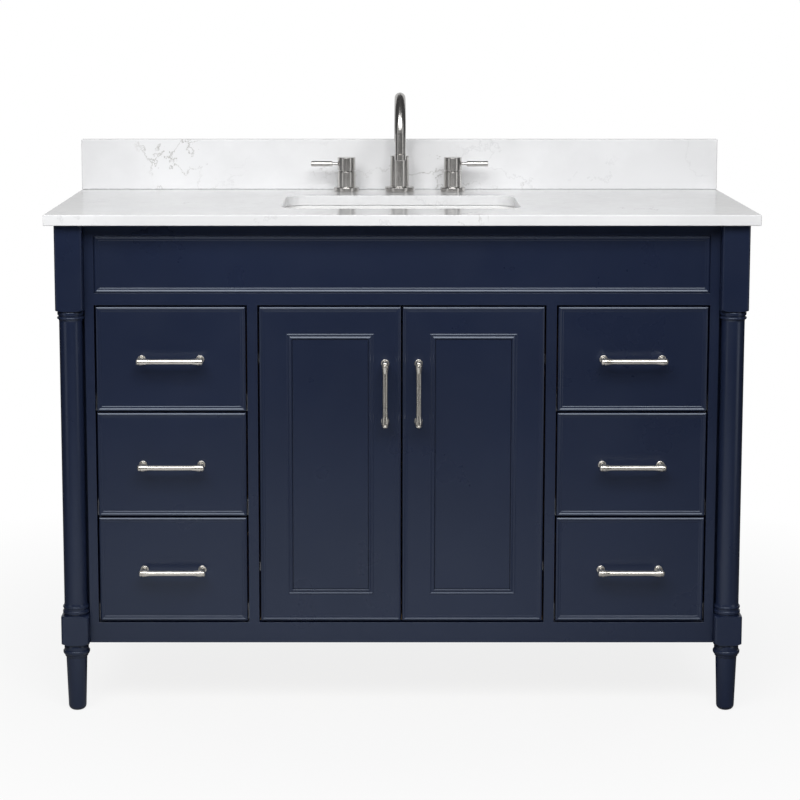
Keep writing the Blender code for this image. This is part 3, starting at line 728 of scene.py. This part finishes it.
def raised(shape: BMesh, height: float) -> BMesh:
    """Gives a flat plate its thickness, upwards.

    Args:
        shape: the plate.
        height: its thickness.

    Returns:
        The same bmesh, closed.
    """
    made = ops.extrude_face_region(shape, geom=shape.faces[:])
    top = [item for item in made["geom"] if isinstance(item, BMVert)]
    ops.translate(shape, vec=(0, 0, height), verts=top)
    return closed(shape)


def front_face(shape: BMesh, towards: float = -1.0) -> BMFace:
    """The widest face that looks along Y.

    Args:
        shape: the bmesh to look in.
        towards: -1 for the front, 1 for the back.

    Returns:
        The face.
    """
    shape.normal_update()
    facing = [f for f in shape.faces if f.normal.y * towards > 0.99]
    return max(facing, key=lambda f: f.calc_area())


def inset(shape: BMesh, face: BMFace, width: float, rise: float = 0.0) -> None:
    """Shrinks a face evenly and raises it, with a band of new faces round it."""
    ops.inset_individual(shape, faces=[face], thickness=width, depth=rise,
                         use_even_offset=True)


@dataclass(frozen=True)
class Moulding:
    """A moulded edge, as (width, rise) steps from the outside in."""

    steps: tuple[tuple[float, float], ...]

    @property
    def width(self) -> float:
        """The moulding's whole width."""
        return sum(width for width, _ in self.steps)

    def run(self, shape: BMesh, face: BMFace) -> None:
        """Runs the moulding round a face, which shrinks to what is inside it.

        Args:
            shape: the bmesh that holds the face.
            face: the face.
        """
        for width, rise in self.steps:
            inset(shape, face, width, rise)
            for mitre in {e for v in face.verts for e in v.link_edges} - set(face.edges):
                mitre.smooth = False


EDGE_MOULDING = Moulding((
    (0.00025, 0.0006), (0.0005, 0.00035), (0.0017, 0.0009), (0.0004, 0.00005),
    (0.0004, -0.0001), (0.0022, -0.00105), (0.0004, -0.0001),
    (0.0020, 0.0),
    (0.0002, -0.0001), (0.0009, -0.00045), (0.0002, -0.00005),
))
INNER_MOULDING = Moulding((
    (0.0002, 0.00005), (0.0011, 0.00055), (0.0004, 0.00005),
    (0.0004, -0.00005), (0.0018, -0.0009), (0.0003, -0.00005),
    (0.0006, 0.0),
    (0.0002, 0.00005), (0.0022, 0.0011), (0.0004, 0.00005),
    (0.0004, -0.00005), (0.0011, -0.00055), (0.0004, -0.0009),
))
EDGE_RISE = 0.0019


def moulded(node: str) -> tuple[BMesh, BMFace]:
    """A node's block with the edge moulding run round its front.

    Args:
        node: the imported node.

    Returns:
        The bmesh, and the face inside the moulding.
    """
    low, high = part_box(node)
    shape = block((low.x, low.y + EDGE_RISE, low.z), high)
    front = front_face(shape)
    EDGE_MOULDING.run(shape, front)
    return shape, front


# ---------------------------------------------------------------- sub-assemblies
@dataclass
class SubAssembly:
    """What all sub-assemblies share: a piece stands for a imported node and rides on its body."""

    def fit(self, node: str, shape: BMesh, finish: Finish) -> None:
        """Makes a finished shape the visible piece of a node.

        Args:
            node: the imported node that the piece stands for.
            shape: the finished bmesh, which is freed.
            finish: its finish.
        """
        for face in shape.faces:
            face.smooth = True
        for edge in shape.edges:
            edge.smooth = edge.smooth and edge.calc_face_angle(0) < CREASE
        mesh = meshed(shape, node)
        mesh.materials.append(finish.material())
        piece = shown(f"{node}_visual", mesh)
        piece.modifiers.new("even_shading", "WEIGHTED_NORMAL").keep_sharp = True
        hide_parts(node)
        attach(piece, frame["nodes"][node]["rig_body"])
        LOG.info("%s: %d faces, %s", piece.name, len(mesh.polygons), finish.name)

    def dress(self, node: str, finish: Finish, ease: float) -> None:
        """Fits a copy of the node's own shape with softened edges."""
        self.fit(node, eased(merged(frame["nodes"][node].data), ease), finish)


@dataclass
class Legs(SubAssembly):
    """Four legs: square blocks with softened corners, turned rings, a column and a tapered foot."""

    edge: float = 0.0042
    edge_steps: int = 5
    top_block: float = 0.1480
    low_block_top: float = 0.1720
    low_block_bottom: float = 0.1270
    shoulder: float = 0.0066
    shoulder_radius: float = 0.0330
    tongue: float = 0.0040
    toe_radius: float = 0.0158
    toe_taper: float = 0.0004
    toe_round: float = 0.0085
    past: float = 0.01
    capital: Profile = (
        (0.0235, 0.0), (0.0212, -0.0006),
        (0.0212, -0.0014), (0.0231, -0.0014, 0.0018), (0.0231, -0.0082, 0.0018), (0.0212, -0.0082),
        (0.0212, -0.0104), (0.0236, -0.0104, 0.0020), (0.0236, -0.0150, 0.0020), (0.0212, -0.0150),
        (0.0203, -0.0178, 0.0015),
    )
    base: Profile = (
        (0.0203, 0.0200, 0.0015),
        (0.0212, 0.0168), (0.0228, 0.0168, 0.0018), (0.0228, 0.0120, 0.0018), (0.0212, 0.0120),
        (0.0212, 0.0088), (0.0231, 0.0088, 0.0018), (0.0231, 0.0022, 0.0018), (0.0212, 0.0022),
        (0.0212, 0.0006), (0.0235, 0.0),
    )
    foot: Profile = (
        (0.0235, 0.0), (0.0208, -0.0010), (0.0208, -0.0026), (0.0218, -0.0060, 0.0015),
        (0.0216, -0.0115), (0.0238, -0.0125, 0.0012), (0.0238, -0.0185, 0.0030),
        (0.0206, -0.0205), (0.0206, -0.0232, 0.0008), (0.0187, -0.0240),
    )

    def outline(self, top: float) -> list[Corner]:
        """The turned outline from the top down.

        Args:
            top: height of the leg's top.

        Returns:
            The corners of the outline.
        """
        under = top - self.top_block - self.tongue
        over = self.low_block_top + self.tongue
        low = self.low_block_bottom - self.tongue
        return [
            Corner(0, top),
            Corner(self.shoulder_radius, top),
            Corner(self.shoulder_radius, under, self.shoulder),
            *traced(self.capital, under),
            *traced(self.base, over),
            Corner(self.shoulder_radius, over, self.shoulder),
            Corner(self.shoulder_radius, low, self.shoulder),
            *traced(self.foot, low),
            Corner(self.toe_radius, self.toe_round),
            Corner(self.toe_radius - self.toe_taper, 0, self.toe_round),
            Corner(0, 0),
        ]

    def build(self) -> None:
        """Builds the four legs: each is what its turning and a soft-cornered square share."""
        for node in (f"leg_{depth}_{side.word}" for depth in ("front", "back") for side in Side):
            low, high, middle = extent(node)
            turning = stood(self.outline(high.z), middle)
            beyond = Vector((0, 0, self.past))
            square = block(low - beyond, high + beyond)
            upright = [e for e in square.edges
                       if abs(e.verts[0].co.z - e.verts[1].co.z) > self.edge]
            rounded(square, upright, self.edge, self.edge_steps)
            self.fit(node, carved(turning, square, Cut.COMMON), NAVY)


@dataclass
class Carcass(SubAssembly):
    """Face frame, side panels, partitions, bottom, back, hinge arms and runners."""

    paint_edge: float = 0.0009
    board_edge: float = 0.0006
    steel_edge: float = 0.0003

    def build(self) -> None:
        """Builds the fixed pieces of the cabinet."""
        self.dress("face_frame", NAVY, self.paint_edge)
        self.dress("back_panel", PANEL_WOOD, self.board_edge)
        self.dress("bottom_panel", PANEL_WOOD, self.board_edge)
        for side in Side:
            self.dress(f"side_panel_{side.word}", NAVY, self.paint_edge)
            self.dress(f"partition_{side.word}", UPRIGHT_WOOD, self.board_edge)
            for end in HINGE_ENDS:
                self.dress(f"hinge_arm_{side.word}_{end}", STEEL, self.steel_edge)
            for level in Level:
                self.dress(f"drawer_runner_{side.word}_{level.value}", STEEL, self.steel_edge)


@dataclass
class Fronts(SubAssembly):
    """The apron panel and the six drawer fronts: flat fields inside a double bead."""

    def build(self) -> None:
        """Builds the apron panel and the drawer fronts."""
        for node in ["apron_panel"] + [f"drawer_front_{drawer}" for drawer in DRAWERS]:
            shape, _ = moulded(node)
            self.fit(node, closed(shape), NAVY)


@dataclass
class DrawerBoxes(SubAssembly):
    """Six plywood drawer boxes with softened edges."""

    edge: float = 0.0010

    def build(self) -> None:
        """Builds the drawer boxes."""
        for drawer in DRAWERS:
            self.dress(f"drawer_box_{drawer}", BOX_WOOD, self.edge)


@dataclass
class Doors(SubAssembly):
    """Two doors: a frame with a beaded edge and an inner moulding, a centre panel, hinge cups."""

    rail: float = 0.0480
    tongue: float = 0.0080
    panel_rise: float = 0.0030
    panel_edge: float = 0.0004
    cup_edge: float = 0.0003
    bore_steps: int = 48
    bore_radius: float = 0.0178
    bore_depth: float = 0.020

    def frame_shape(self, side: Side) -> BMesh:
        """The frame of a door.

        Args:
            side: which door.

        Returns:
            The closed bmesh.
        """
        shape, front = moulded(f"door_frame_{side.word}")
        inset(shape, front, self.rail - EDGE_MOULDING.width)
        INNER_MOULDING.run(shape, front)
        back = front_face(shape, 1.0)
        inset(shape, back, self.rail + INNER_MOULDING.width)
        edges = front.edges[:] + back.edges[:]
        ops.delete(shape, geom=[front, back], context="FACES_ONLY")
        ops.bridge_loops(shape, edges=edges)
        return self.bored(closed(shape), side)

    def bored(self, shape: BMesh, side: Side) -> BMesh:
        """Bores the frame's back for its two hinge cups.

        Args:
            shape: the frame.
            side: which door.

        Returns:
            A new bmesh.
        """
        for end in HINGE_ENDS:
            low, _, middle = extent(f"hinge_cup_{side.word}_{end}")
            depth = low.y - SEAT_GAP + self.bore_depth / 2
            place = Matrix.Translation((middle.x, depth, middle.z))
            bore = cylinder(self.bore_radius, self.bore_depth, self.bore_steps,
                            place @ Matrix.Rotation(QUARTER, 4, "X"))
            shape = carved(shape, bore, Cut.REMOVE)
        return shape

    def panel_shape(self, side: Side) -> BMesh:
        """The centre panel: a tongue in the frame's groove and a slightly raised field.

        Args:
            side: which door.

        Returns:
            The closed bmesh.
        """
        shape = block(*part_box(f"door_panel_{side.word}"))
        steps = Moulding(((self.tongue, 0.0), (self.panel_edge, self.panel_rise)))
        steps.run(shape, front_face(shape))
        return closed(shape)

    def build(self) -> None:
        """Builds both doors."""
        for side in Side:
            self.fit(f"door_frame_{side.word}", self.frame_shape(side), NAVY)
            self.fit(f"door_panel_{side.word}", self.panel_shape(side), NAVY)
            for end in HINGE_ENDS:
                self.dress(f"hinge_cup_{side.word}_{end}", STEEL, self.cup_edge)


@dataclass
class Pulls(SubAssembly):
    """Eight bar pulls: a rod with flared collars and domed ends, on two round posts with roses."""

    bar_end: tuple[Corner, ...] = (
        Corner(0, 0),
        Corner(0.0060, 0, 0.0038),
        Corner(0.0060, 0.0046, 0.0004),
        Corner(0.0052, 0.0050),
        Corner(0.0052, 0.0059),
        Corner(0.0064, 0.0063, 0.0005),
        Corner(0.0064, 0.0092, 0.0012),
        Corner(0.0049, 0.0190, 0.0030),
        Corner(0.0047, 0.0215),
    )
    centres: float = 0.103
    post_radius: float = 0.0043
    rose_radius: float = 0.0072
    rose_round: float = 0.0008
    rose: float = 0.0032
    flare: float = 0.0014
    flare_round: float = 0.0012
    sink_in: float = 0.0022

    def bar(self, half: float) -> BMesh:
        """The rod with its two ends, along Z. An end's outline is measured from its tip.

        Args:
            half: half of the rod's length.

        Returns:
            The closed bmesh.
        """
        start = [Corner(c.radius, half - c.height, c.rounding) for c in self.bar_end]
        mirror = [Corner(c.radius, -c.height, c.rounding) for c in reversed(start)]
        return turned(start + mirror, SMALL_TURN)

    def post(self, length: float) -> BMesh:
        """A post with its rose, down from the rod's axis.

        Args:
            length: distance from the rod's axis to the rose's foot.

        Returns:
            The closed bmesh.
        """
        rose_top = self.rose - length
        return turned([
            Corner(0, 0),
            Corner(self.post_radius, 0),
            Corner(self.post_radius, rose_top + self.flare, self.flare_round),
            Corner(self.rose_radius - self.flare_round, rose_top),
            Corner(self.rose_radius, rose_top, self.rose_round),
            Corner(self.rose_radius, -length),
            Corner(0, -length),
        ], SMALL_TURN)

    def build(self) -> None:
        """Builds the pulls of the drawers and the doors."""
        nodes = [f"drawer_pull_{drawer}" for drawer in DRAWERS]
        for node in nodes + [f"door_pull_{side.word}" for side in Side]:
            low, high, middle = extent(node)
            size = high - low
            upright = size.z > size.x
            axis_y = low.y + min(size.x, size.z) / 2
            centre = Vector((middle.x, axis_y, middle.z))
            turn = Matrix.Identity(4) if upright else Matrix.Rotation(QUARTER, 4, "Y")
            shape = moved(self.bar(max(size.x, size.z) / 2), Matrix.Translation(centre) @ turn)
            for reach in (-self.centres / 2, self.centres / 2):
                offset = Vector((0, 0, reach)) if upright else Vector((reach, 0, 0))
                place = Matrix.Translation(centre + offset) @ Matrix.Rotation(QUARTER, 4, "X")
                joined(shape, moved(self.post(high.y + self.sink_in - axis_y), place))
            self.fit(node, shape, PULL_METAL_Z if upright else PULL_METAL_X)


@dataclass
class StoneTop(SubAssembly):
    """The slab with its sink cut-out and faucet holes, and the backsplash."""

    ease: float = 0.0016
    ease_steps: int = 3
    ease_over: float = math.radians(60)
    cutout_half_x: float = 0.2150
    cutout_half_y: float = 0.1360
    cutout_corner: float = 0.0400
    corner_steps: int = 14
    hole_radius: float = 0.0160
    past: float = 0.010

    def slab(self) -> BMesh:
        """The slab, cut out for the basin and bored for the faucet.

        Returns:
            The closed bmesh.
        """
        low, high, middle = extent("countertop")
        basin = extent("sink_basin")[2]
        start = Vector((basin.x, basin.y, low.z - self.past))
        height = high.z - low.z + 2 * self.past
        plate = rounded_plate(start, self.cutout_half_x, self.cutout_half_y, self.cutout_corner,
                              self.corner_steps)
        shape = carved(block(low, high), raised(plate, height), Cut.REMOVE)
        for node in ("faucet_body", "valve_body_left", "valve_body_right"):
            hole = extent(node)[2]
            place = Matrix.Translation((hole.x, hole.y, middle.z))
            shape = carved(shape, cylinder(self.hole_radius, height, SMALL_TURN, place), Cut.REMOVE)
        return shape

    def build(self) -> None:
        """Builds the slab and the backsplash."""
        slab = eased(self.slab(), self.ease, self.ease_steps, self.ease_over)
        self.fit("countertop", slab, STONE)
        splash = eased(block(*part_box("backsplash")), self.ease, self.ease_steps)
        self.fit("backsplash", splash, STONE)


@dataclass
class Basin(SubAssembly):
    """The undermount basin, with round corners and a floor that falls to its drain.

    It is bridged from loops, each a half size, a corner radius and a height.
    """

    flange: float = 0.0180
    flange_thickness: float = 0.0100
    corner: float = 0.0420
    corner_steps: int = 11
    wall: float = 0.0090
    taper: float = 0.0160
    floor_round: float = 0.0300
    floor_fall: float = 0.0080
    bowl: float = 0.1350
    land: float = 0.0340
    bore: float = 0.0225
    circle: float = 0.98
    round_steps: int = 8
    lip: float = 0.0015
    lip_flare: float = 0.3
    dish: float = 0.0004
    throat: float = 0.0160
    tail: float = 0.0222
    flange_slope: float = 0.0040
    mouth: Profile = ((0.0160, -0.0030, 0.0006), (0.0195, -0.0006, 0.0010))
    flange_edge: Profile = ((0.0, -0.0014, 0.0006), (0.0, -0.0020))

    def loop(self, shape: BMesh, middle: Vector, half: Vector, corner: float,
             height: float) -> list[Any]:
        """Adds a round-cornered loop of edges.

        Args:
            shape: the bmesh that takes it.
            middle: the basin's middle.
            half: half of the loop's width and depth.
            corner: radius of its corners.
            height: its height.

        Returns:
            The loop's edges.
        """
        before = set(shape.edges)
        place = Vector((middle.x, middle.y, height))
        joined(shape, rounded_plate(place, half.x, half.y, min(corner, half.x, half.y),
                                    self.corner_steps))
        edges = [e for e in shape.edges if e not in before]
        faces = list({f for e in edges for f in e.link_faces})
        ops.delete(shape, geom=faces, context="FACES_ONLY")
        return edges

    def bend(self, half: Vector, start: float, wall: float) -> list[Row]:
        """The loops round the bend from the wall to the floor, from the top down.

        Args:
            half: half of the inner size where the bend starts.
            start: height where it starts.
            wall: distance from the inner face, 0 for that face itself.

        Returns:
            The loops.
        """
        rows = []
        for step in range(self.round_steps + 1):
            angle = QUARTER * step / self.round_steps
            inward = (self.floor_round + wall) * (1 - math.cos(angle)) - wall
            drop = (self.floor_round + wall) * math.sin(angle)
            rows.append((half - Vector((inward, inward)), self.corner + wall, start - drop))
        return rows

    def levels(self, half: Vector, top: float) -> list[Row]:
        """The basin's loops, down the inside and up the outside.

        Args:
            half: half of the mouth's width and depth.
            top: height of the rim.

        Returns:
            The loops.
        """
        one = Vector((1, 1))
        low = half - one * self.taper
        turn = top - self.bowl + self.floor_round
        deep = top - self.bowl - self.floor_fall
        land = (one * self.land, self.land * self.circle)
        bore = (one * self.bore, self.bore * self.circle)
        shelf = top - self.flange_thickness
        rim = (half + one * self.flange, self.corner + self.flange)
        return [
            (half + one * self.lip * self.lip_flare, self.corner, top),
            (half, self.corner, top - self.lip),
            *self.bend(low, turn, 0.0),
            (*land, deep),
            (*bore, deep - self.dish),
            (*bore, deep - self.wall - self.dish),
            (*land, deep - self.wall),
            *reversed(self.bend(low, turn, self.wall)),
            (half + one * self.wall, self.corner + self.wall, shelf - self.dish),
            (*rim, shelf),
            (*rim, top - self.dish / 2),
        ]

    def drain(self) -> BMesh:
        """The drain: a flange with a dished mouth, and its tail piece.

        Returns:
            The closed bmesh.
        """
        low, high, middle = extent("sink_drain")
        wide = (high.x - low.x) / 2
        edge = [Corner(wide, c.height, c.rounding) for c in traced(self.flange_edge, high.z)]
        return stood([
            *traced(self.mouth, high.z),
            Corner(wide - self.flange_slope, high.z, 0.0010),
            *edge,
            Corner(self.tail, edge[-1].height),
            Corner(self.tail, low.z),
            Corner(self.throat, low.z),
            Corner(self.throat, high.z + self.mouth[0][1]),
        ], middle)

    def build(self) -> None:
        """Builds the basin and its drain."""
        low, high, middle = extent("sink_basin")
        half = (high - low).xy / 2 - Vector((self.flange, self.flange))
        shape = bmesh.new()
        loops = [self.loop(shape, middle, *row) for row in self.levels(half, high.z)]
        for here, after in zip(loops, loops[1:] + loops[:1]):
            ops.bridge_loops(shape, edges=here + after)
        self.fit("sink_basin", closed(shape), GLAZE)
        self.fit("sink_drain", self.drain(), FAUCET_METAL)


@dataclass
class Faucet(SubAssembly):
    """A spout on a tall round base, between two valve bodies with side levers."""

    ease: float = 0.0008
    base_radius: float = 0.0180
    base_flange: float = 0.0090
    valve_radius: float = 0.0175
    valve_flange: float = 0.0080
    shank_radius: float = 0.0125
    foot_line: float = 0.0010
    foot_round: float = 0.0006
    flange_round: float = 0.0012
    riser_radius: float = 0.0084
    riser: float = 0.0260
    groove: float = 0.0020
    pinch: float = 0.82
    lap: float = 0.0001
    tube_radius: float = 0.0103
    tube_chamfer: float = 0.97
    bend_radius: float = 0.0650
    bend_steps: int = 40
    aerator: float = 0.0125
    aerator_radius: float = 0.0109
    aerator_neck: float = 0.94
    hub_radius: float = 0.0173
    joint: float = 0.0018
    joint_depth: float = 0.0022
    joint_round: float = 0.0004
    neck_radius: float = 0.00275
    neck: float = 0.0100
    root: float = 0.8
    lever_radius: float = 0.00525
    lever_round: float = 0.0012
    lever_height: float = 0.0535

    def base(self, node: str, radius: float, flange: float) -> None:
        """Fits a flanged round body on the stone, with its shank below.

        Args:
            node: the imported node.
            radius: radius of the body.
            flange: thickness of its flange.
        """
        low, high, middle = extent(node)
        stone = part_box("countertop")[1].z + SEAT_GAP
        wide = (high.x - low.x) / 2
        self.fit(node, stood([
            Corner(0, high.z),
            Corner(radius, high.z, self.ease),
            Corner(radius, stone + flange, self.foot_line),
            Corner(wide, stone + flange, self.flange_round),
            Corner(wide, stone + self.flange_round, self.foot_round),
            Corner(wide - self.foot_line, stone + self.foot_line),
            Corner(wide - self.foot_line, stone),
            Corner(self.shank_radius, stone),
            Corner(self.shank_radius, low.z),
            Corner(0, low.z),
        ], middle), FAUCET_METAL)

    def tube(self, shape: BMesh, edges: list[Any],
             steps: Sequence[tuple[float, float]]) -> list[Any]:
        """Runs a round tube on along Z.

        Args:
            shape: the bmesh that holds it.
            edges: the open end's edges.
            steps: (distance along Z, size of the new end over the old) pairs.

        Returns:
            The last end's edges.
        """
        for rise, scale in steps:
            made = ops.extrude_edge_only(shape, edges=edges)["geom"]
            verts = [item for item in made if isinstance(item, BMVert)]
            middle = sum((v.co for v in verts), Vector()) / len(verts)
            ops.scale(shape, vec=(scale, scale, 1), space=Matrix.Translation(-middle),
                      verts=verts)
            ops.translate(shape, vec=(0, 0, rise), verts=verts)
            edges = [item for item in made if isinstance(item, BMEdge)
                     and item.verts[0] in verts and item.verts[1] in verts]
        return edges

    def spout(self) -> BMesh:
        """A riser and a tube that turns over in a half circle and ends in the aerator.

        Returns:
            The closed bmesh.
        """
        low, high, middle = extent("faucet_spout")
        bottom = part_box("faucet_body")[1].z + SEAT_GAP
        y = high.y - self.tube_radius
        bend_z = high.z - self.tube_radius - self.bend_radius
        shape = bmesh.new()
        ops.create_circle(shape, cap_ends=True, segments=SMALL_TURN, radius=self.riser_radius)
        ops.translate(shape, vec=(middle.x, y, bottom), verts=shape.verts)
        swell = self.tube_radius / self.riser_radius * self.tube_chamfer
        end = self.tube(shape, shape.edges[:], (
            (self.riser - self.groove, 1.0),
            (self.lap, self.pinch),
            (self.groove - 2 * self.lap, 1.0),
            (self.lap, swell / self.pinch),
            (6 * self.lap, 1 / self.tube_chamfer),
            (bend_z - bottom - self.riser - 6 * self.lap, 1.0),
        ))
        corners = list({v for e in end for v in e.verts})
        made = ops.spin(shape, geom=corners + end, axis=(1, 0, 0), angle=math.pi,
                        cent=(middle.x, y - self.bend_radius, bend_z), steps=self.bend_steps)
        end = [item for item in made["geom_last"] if isinstance(item, BMEdge)]
        end = self.tube(shape, end, (
            (low.z + self.aerator - bend_z, 1.0),
            (-4 * self.lap, self.aerator_neck),
            (-5 * self.lap, 1.0),
            (-4 * self.lap, self.aerator_radius / self.tube_radius / self.aerator_neck),
            (18 * self.lap - self.aerator, 1.0),
            (-5 * self.lap, 0.95),
        ))
        ops.edgeloop_fill(shape, edges=end)
        return closed(shape)

    def lever(self, side: Side) -> BMesh:
        """A hub that turns on its valve, with a rod to the side.

        Args:
            side: which handle.

        Returns:
            The closed bmesh.
        """
        low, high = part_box(f"faucet_lever_{side.word}")
        middle = extent(f"valve_body_{side.word}")[2]
        waist = self.hub_radius - self.joint_depth
        hub = stood([
            Corner(0, high.z),
            Corner(self.hub_radius, high.z, self.ease),
            Corner(self.hub_radius, low.z + self.joint, self.joint_round),
            Corner(waist, low.z + self.joint),
            Corner(waist, low.z),
            Corner(0, low.z),
        ], middle)
        reach = (high.x if side is Side.RIGHT else -low.x) - abs(middle.x)
        grip = self.hub_radius + self.neck
        root = self.hub_radius * self.root
        rod = turned([
            Corner(0, reach),
            Corner(self.lever_radius, reach, self.lever_round),
            Corner(self.lever_radius, grip, self.lever_round),
            Corner(self.neck_radius, grip),
            Corner(self.neck_radius, root),
            Corner(0, root),
        ], SMALL_TURN)
        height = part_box("countertop")[1].z + self.lever_height
        place = Matrix.Translation((middle.x, middle.y, height))
        return joined(hub, moved(rod, place @ Matrix.Rotation(side.value * QUARTER, 4, "Y")))

    def build(self) -> None:
        """Builds the spout, its base, the valve bodies and the levers."""
        self.base("faucet_body", self.base_radius, self.base_flange)
        self.fit("faucet_spout", self.spout(), FAUCET_METAL)
        for side in Side:
            self.base(f"valve_body_{side.word}", self.valve_radius, self.valve_flange)
            self.fit(f"faucet_lever_{side.word}", self.lever(side), FAUCET_METAL)


# ---------------------------------------------------------------- studio
@dataclass(frozen=True)
class Softbox:
    """A white rectangular studio light, aimed at a point."""

    name: str
    place: Place
    target: Place
    size: tuple[float, float]
    watts: float

    def hang(self) -> None:
        """Hangs the light in the scene, out of the camera's sight."""
        light = bpy.data.lights.new(self.name, "AREA")
        light.shape = "RECTANGLE"
        light.size, light.size_y = self.size
        light.energy = self.watts
        lamp = shown(self.name, light)
        lamp.location = self.place
        way = Vector(self.target) - Vector(self.place)
        lamp.rotation_euler = way.to_track_quat("-Z", "Y").to_euler()
        lamp.visible_camera = False


@dataclass
class Studio:
    """A plain white studio: a pale floor, soft lights and the camera."""

    eye: Place = (-0.0433, -4.251, 1.2674)
    down: float = math.radians(7.965)
    lens: float = 103.68
    sensor: float = 36.0
    shift: tuple[float, float] = (0.0284, -0.100)
    sight: float = 200.0
    floor_radius: float = 30.0
    floor_steps: int = 96
    floor_roughness: float = 0.9
    pale: Colour = (0.78, 0.78, 0.78)
    # Painted pool of light on the floor: the grey its colour fades to, the centre, and the
    # distances of the fade.
    dim: Colour = (0.16, 0.16, 0.16)
    pool: Place = (-0.30, -1.15, 0.0)
    pool_edge: tuple[float, float] = (0.50, 1.35)
    glow: tuple[float, float] = (0.84, 1.0)
    glow_edge: tuple[float, float] = (0.5, 1.6)
    room: Colour = (0.07, 0.07, 0.0714)
    lights: tuple[Softbox, ...] = (
        Softbox("key_over", (-0.2, -2.45, 2.65), (0.0, -0.2, 0.7), (3.4, 1.5), 108.0),
        Softbox("left_strip", (-2.3, -1.6, 1.1), (0.0, 0.0, 0.8), (0.9, 2.4), 5.0),
        Softbox("right_strip", (2.3, -1.6, 1.1), (0.0, 0.0, 0.8), (0.9, 2.4), 7.0),
        Softbox("backdrop", (0.0, 3.4, 1.7), (0.0, 0.0, 1.0), (6.0, 3.0), 34.0),
    )

    def camera(self) -> None:
        """Sets the camera up."""
        data = bpy.data.cameras.new("camera")
        data.lens = self.lens
        data.sensor_width = self.sensor
        data.shift_x, data.shift_y = self.shift
        data.clip_end = self.sight
        eye = shown("camera", data)
        eye.location = self.eye
        eye.rotation_euler = (QUARTER - self.down, 0, 0)
        bpy.context.scene.camera = eye

    def mixed(self, tree: Any, share: Any, first: Any, second: Any, output: str) -> None:
        """Sends two shaders, mixed, to a tree's output.

        Args:
            tree: the node tree.
            share: share of the second shader.
            first: shader socket.
            second: shader socket.
            output: name of the output node.
        """
        mixer = tree.nodes.new("ShaderNodeMixShader")
        for source, socket in zip((share, first, second), mixer.inputs):
            tree.links.new(source, socket)
        tree.links.new(mixer.outputs[0], tree.nodes[output].inputs["Surface"])

    def floor_material(self) -> bpy.types.Material:
        """The floor's material: pale, with a painted pool of light round the object, and plain
        white to the camera far off.

        Returns:
            The material.
        """
        recipe = Recipe("pale_floor")
        seen = recipe.node("LightPath")
        # Painted pool of light: to all but the camera, the floor's colour fades from pale round a
        # point in front of the cabinet to grey further off.
        centred = recipe.stretched((1, 1, 1), [-value for value in self.pool])
        painted_pool_fade = recipe.spread(recipe.distance(centred), 0.0, 1.0, *self.pool_edge)
        painted_pool_colour = recipe.ramp(painted_pool_fade, ((0.0, self.pale), (1.0, self.dim)))
        recipe.set(base_color=recipe.blend(seen, painted_pool_colour, self.pale), roughness=self.floor_roughness,
                   specular_ior_level=0.0)
        share = recipe.spread(recipe.distance(recipe.place), *self.glow, *self.glow_edge)
        self.mixed(recipe.material.node_tree, recipe.reckoned("MULTIPLY", share, seen),
                   recipe.shader.outputs[0], recipe.node("Emission"), "Material Output")
        return recipe.material

    def floor(self) -> None:
        """Lays the floor."""
        shape = bmesh.new()
        ops.create_circle(shape, cap_ends=True, segments=self.floor_steps,
                          radius=self.floor_radius)
        mesh = meshed(shape, "floor")
        mesh.materials.append(self.floor_material())
        ground = shown("floor", mesh)

    def surroundings(self) -> None:
        """White where the camera looks past the object, and a soft grey room for all else."""
        world = bpy.data.worlds.new("studio")
        world.use_nodes = True
        bpy.context.scene.world = world
        nodes = world.node_tree.nodes
        white = nodes.new("ShaderNodeBackground")
        for shader, colour in ((nodes["Background"], self.room), (white, (1, 1, 1))):
            shader.inputs["Color"].default_value = (*colour, 1)
        seen = nodes.new("ShaderNodeLightPath").outputs["Is Camera Ray"]
        self.mixed(world.node_tree, seen, nodes["Background"].outputs[0], white.outputs[0],
                   "World Output")

    def build(self) -> None:
        """Sets up the floor, the surroundings, the lights and the camera."""
        self.camera()
        self.floor()
        self.surroundings()
        for light in self.lights:
            light.hang()
        bpy.context.scene.view_settings.view_transform = "Standard"


def main() -> None:
    """Builds the studio and every sub-assembly in order."""
    logging.basicConfig(level=logging.INFO, format="%(message)s")
    Studio().build()
    for part in (Legs(), Carcass(), Fronts(), DrawerBoxes(), Doors(), Pulls(), StoneTop(), Basin(),
                 Faucet()):
        LOG.info("-- %s", type(part).__name__)
        part.build()


if __name__ == "__main__":
    main()
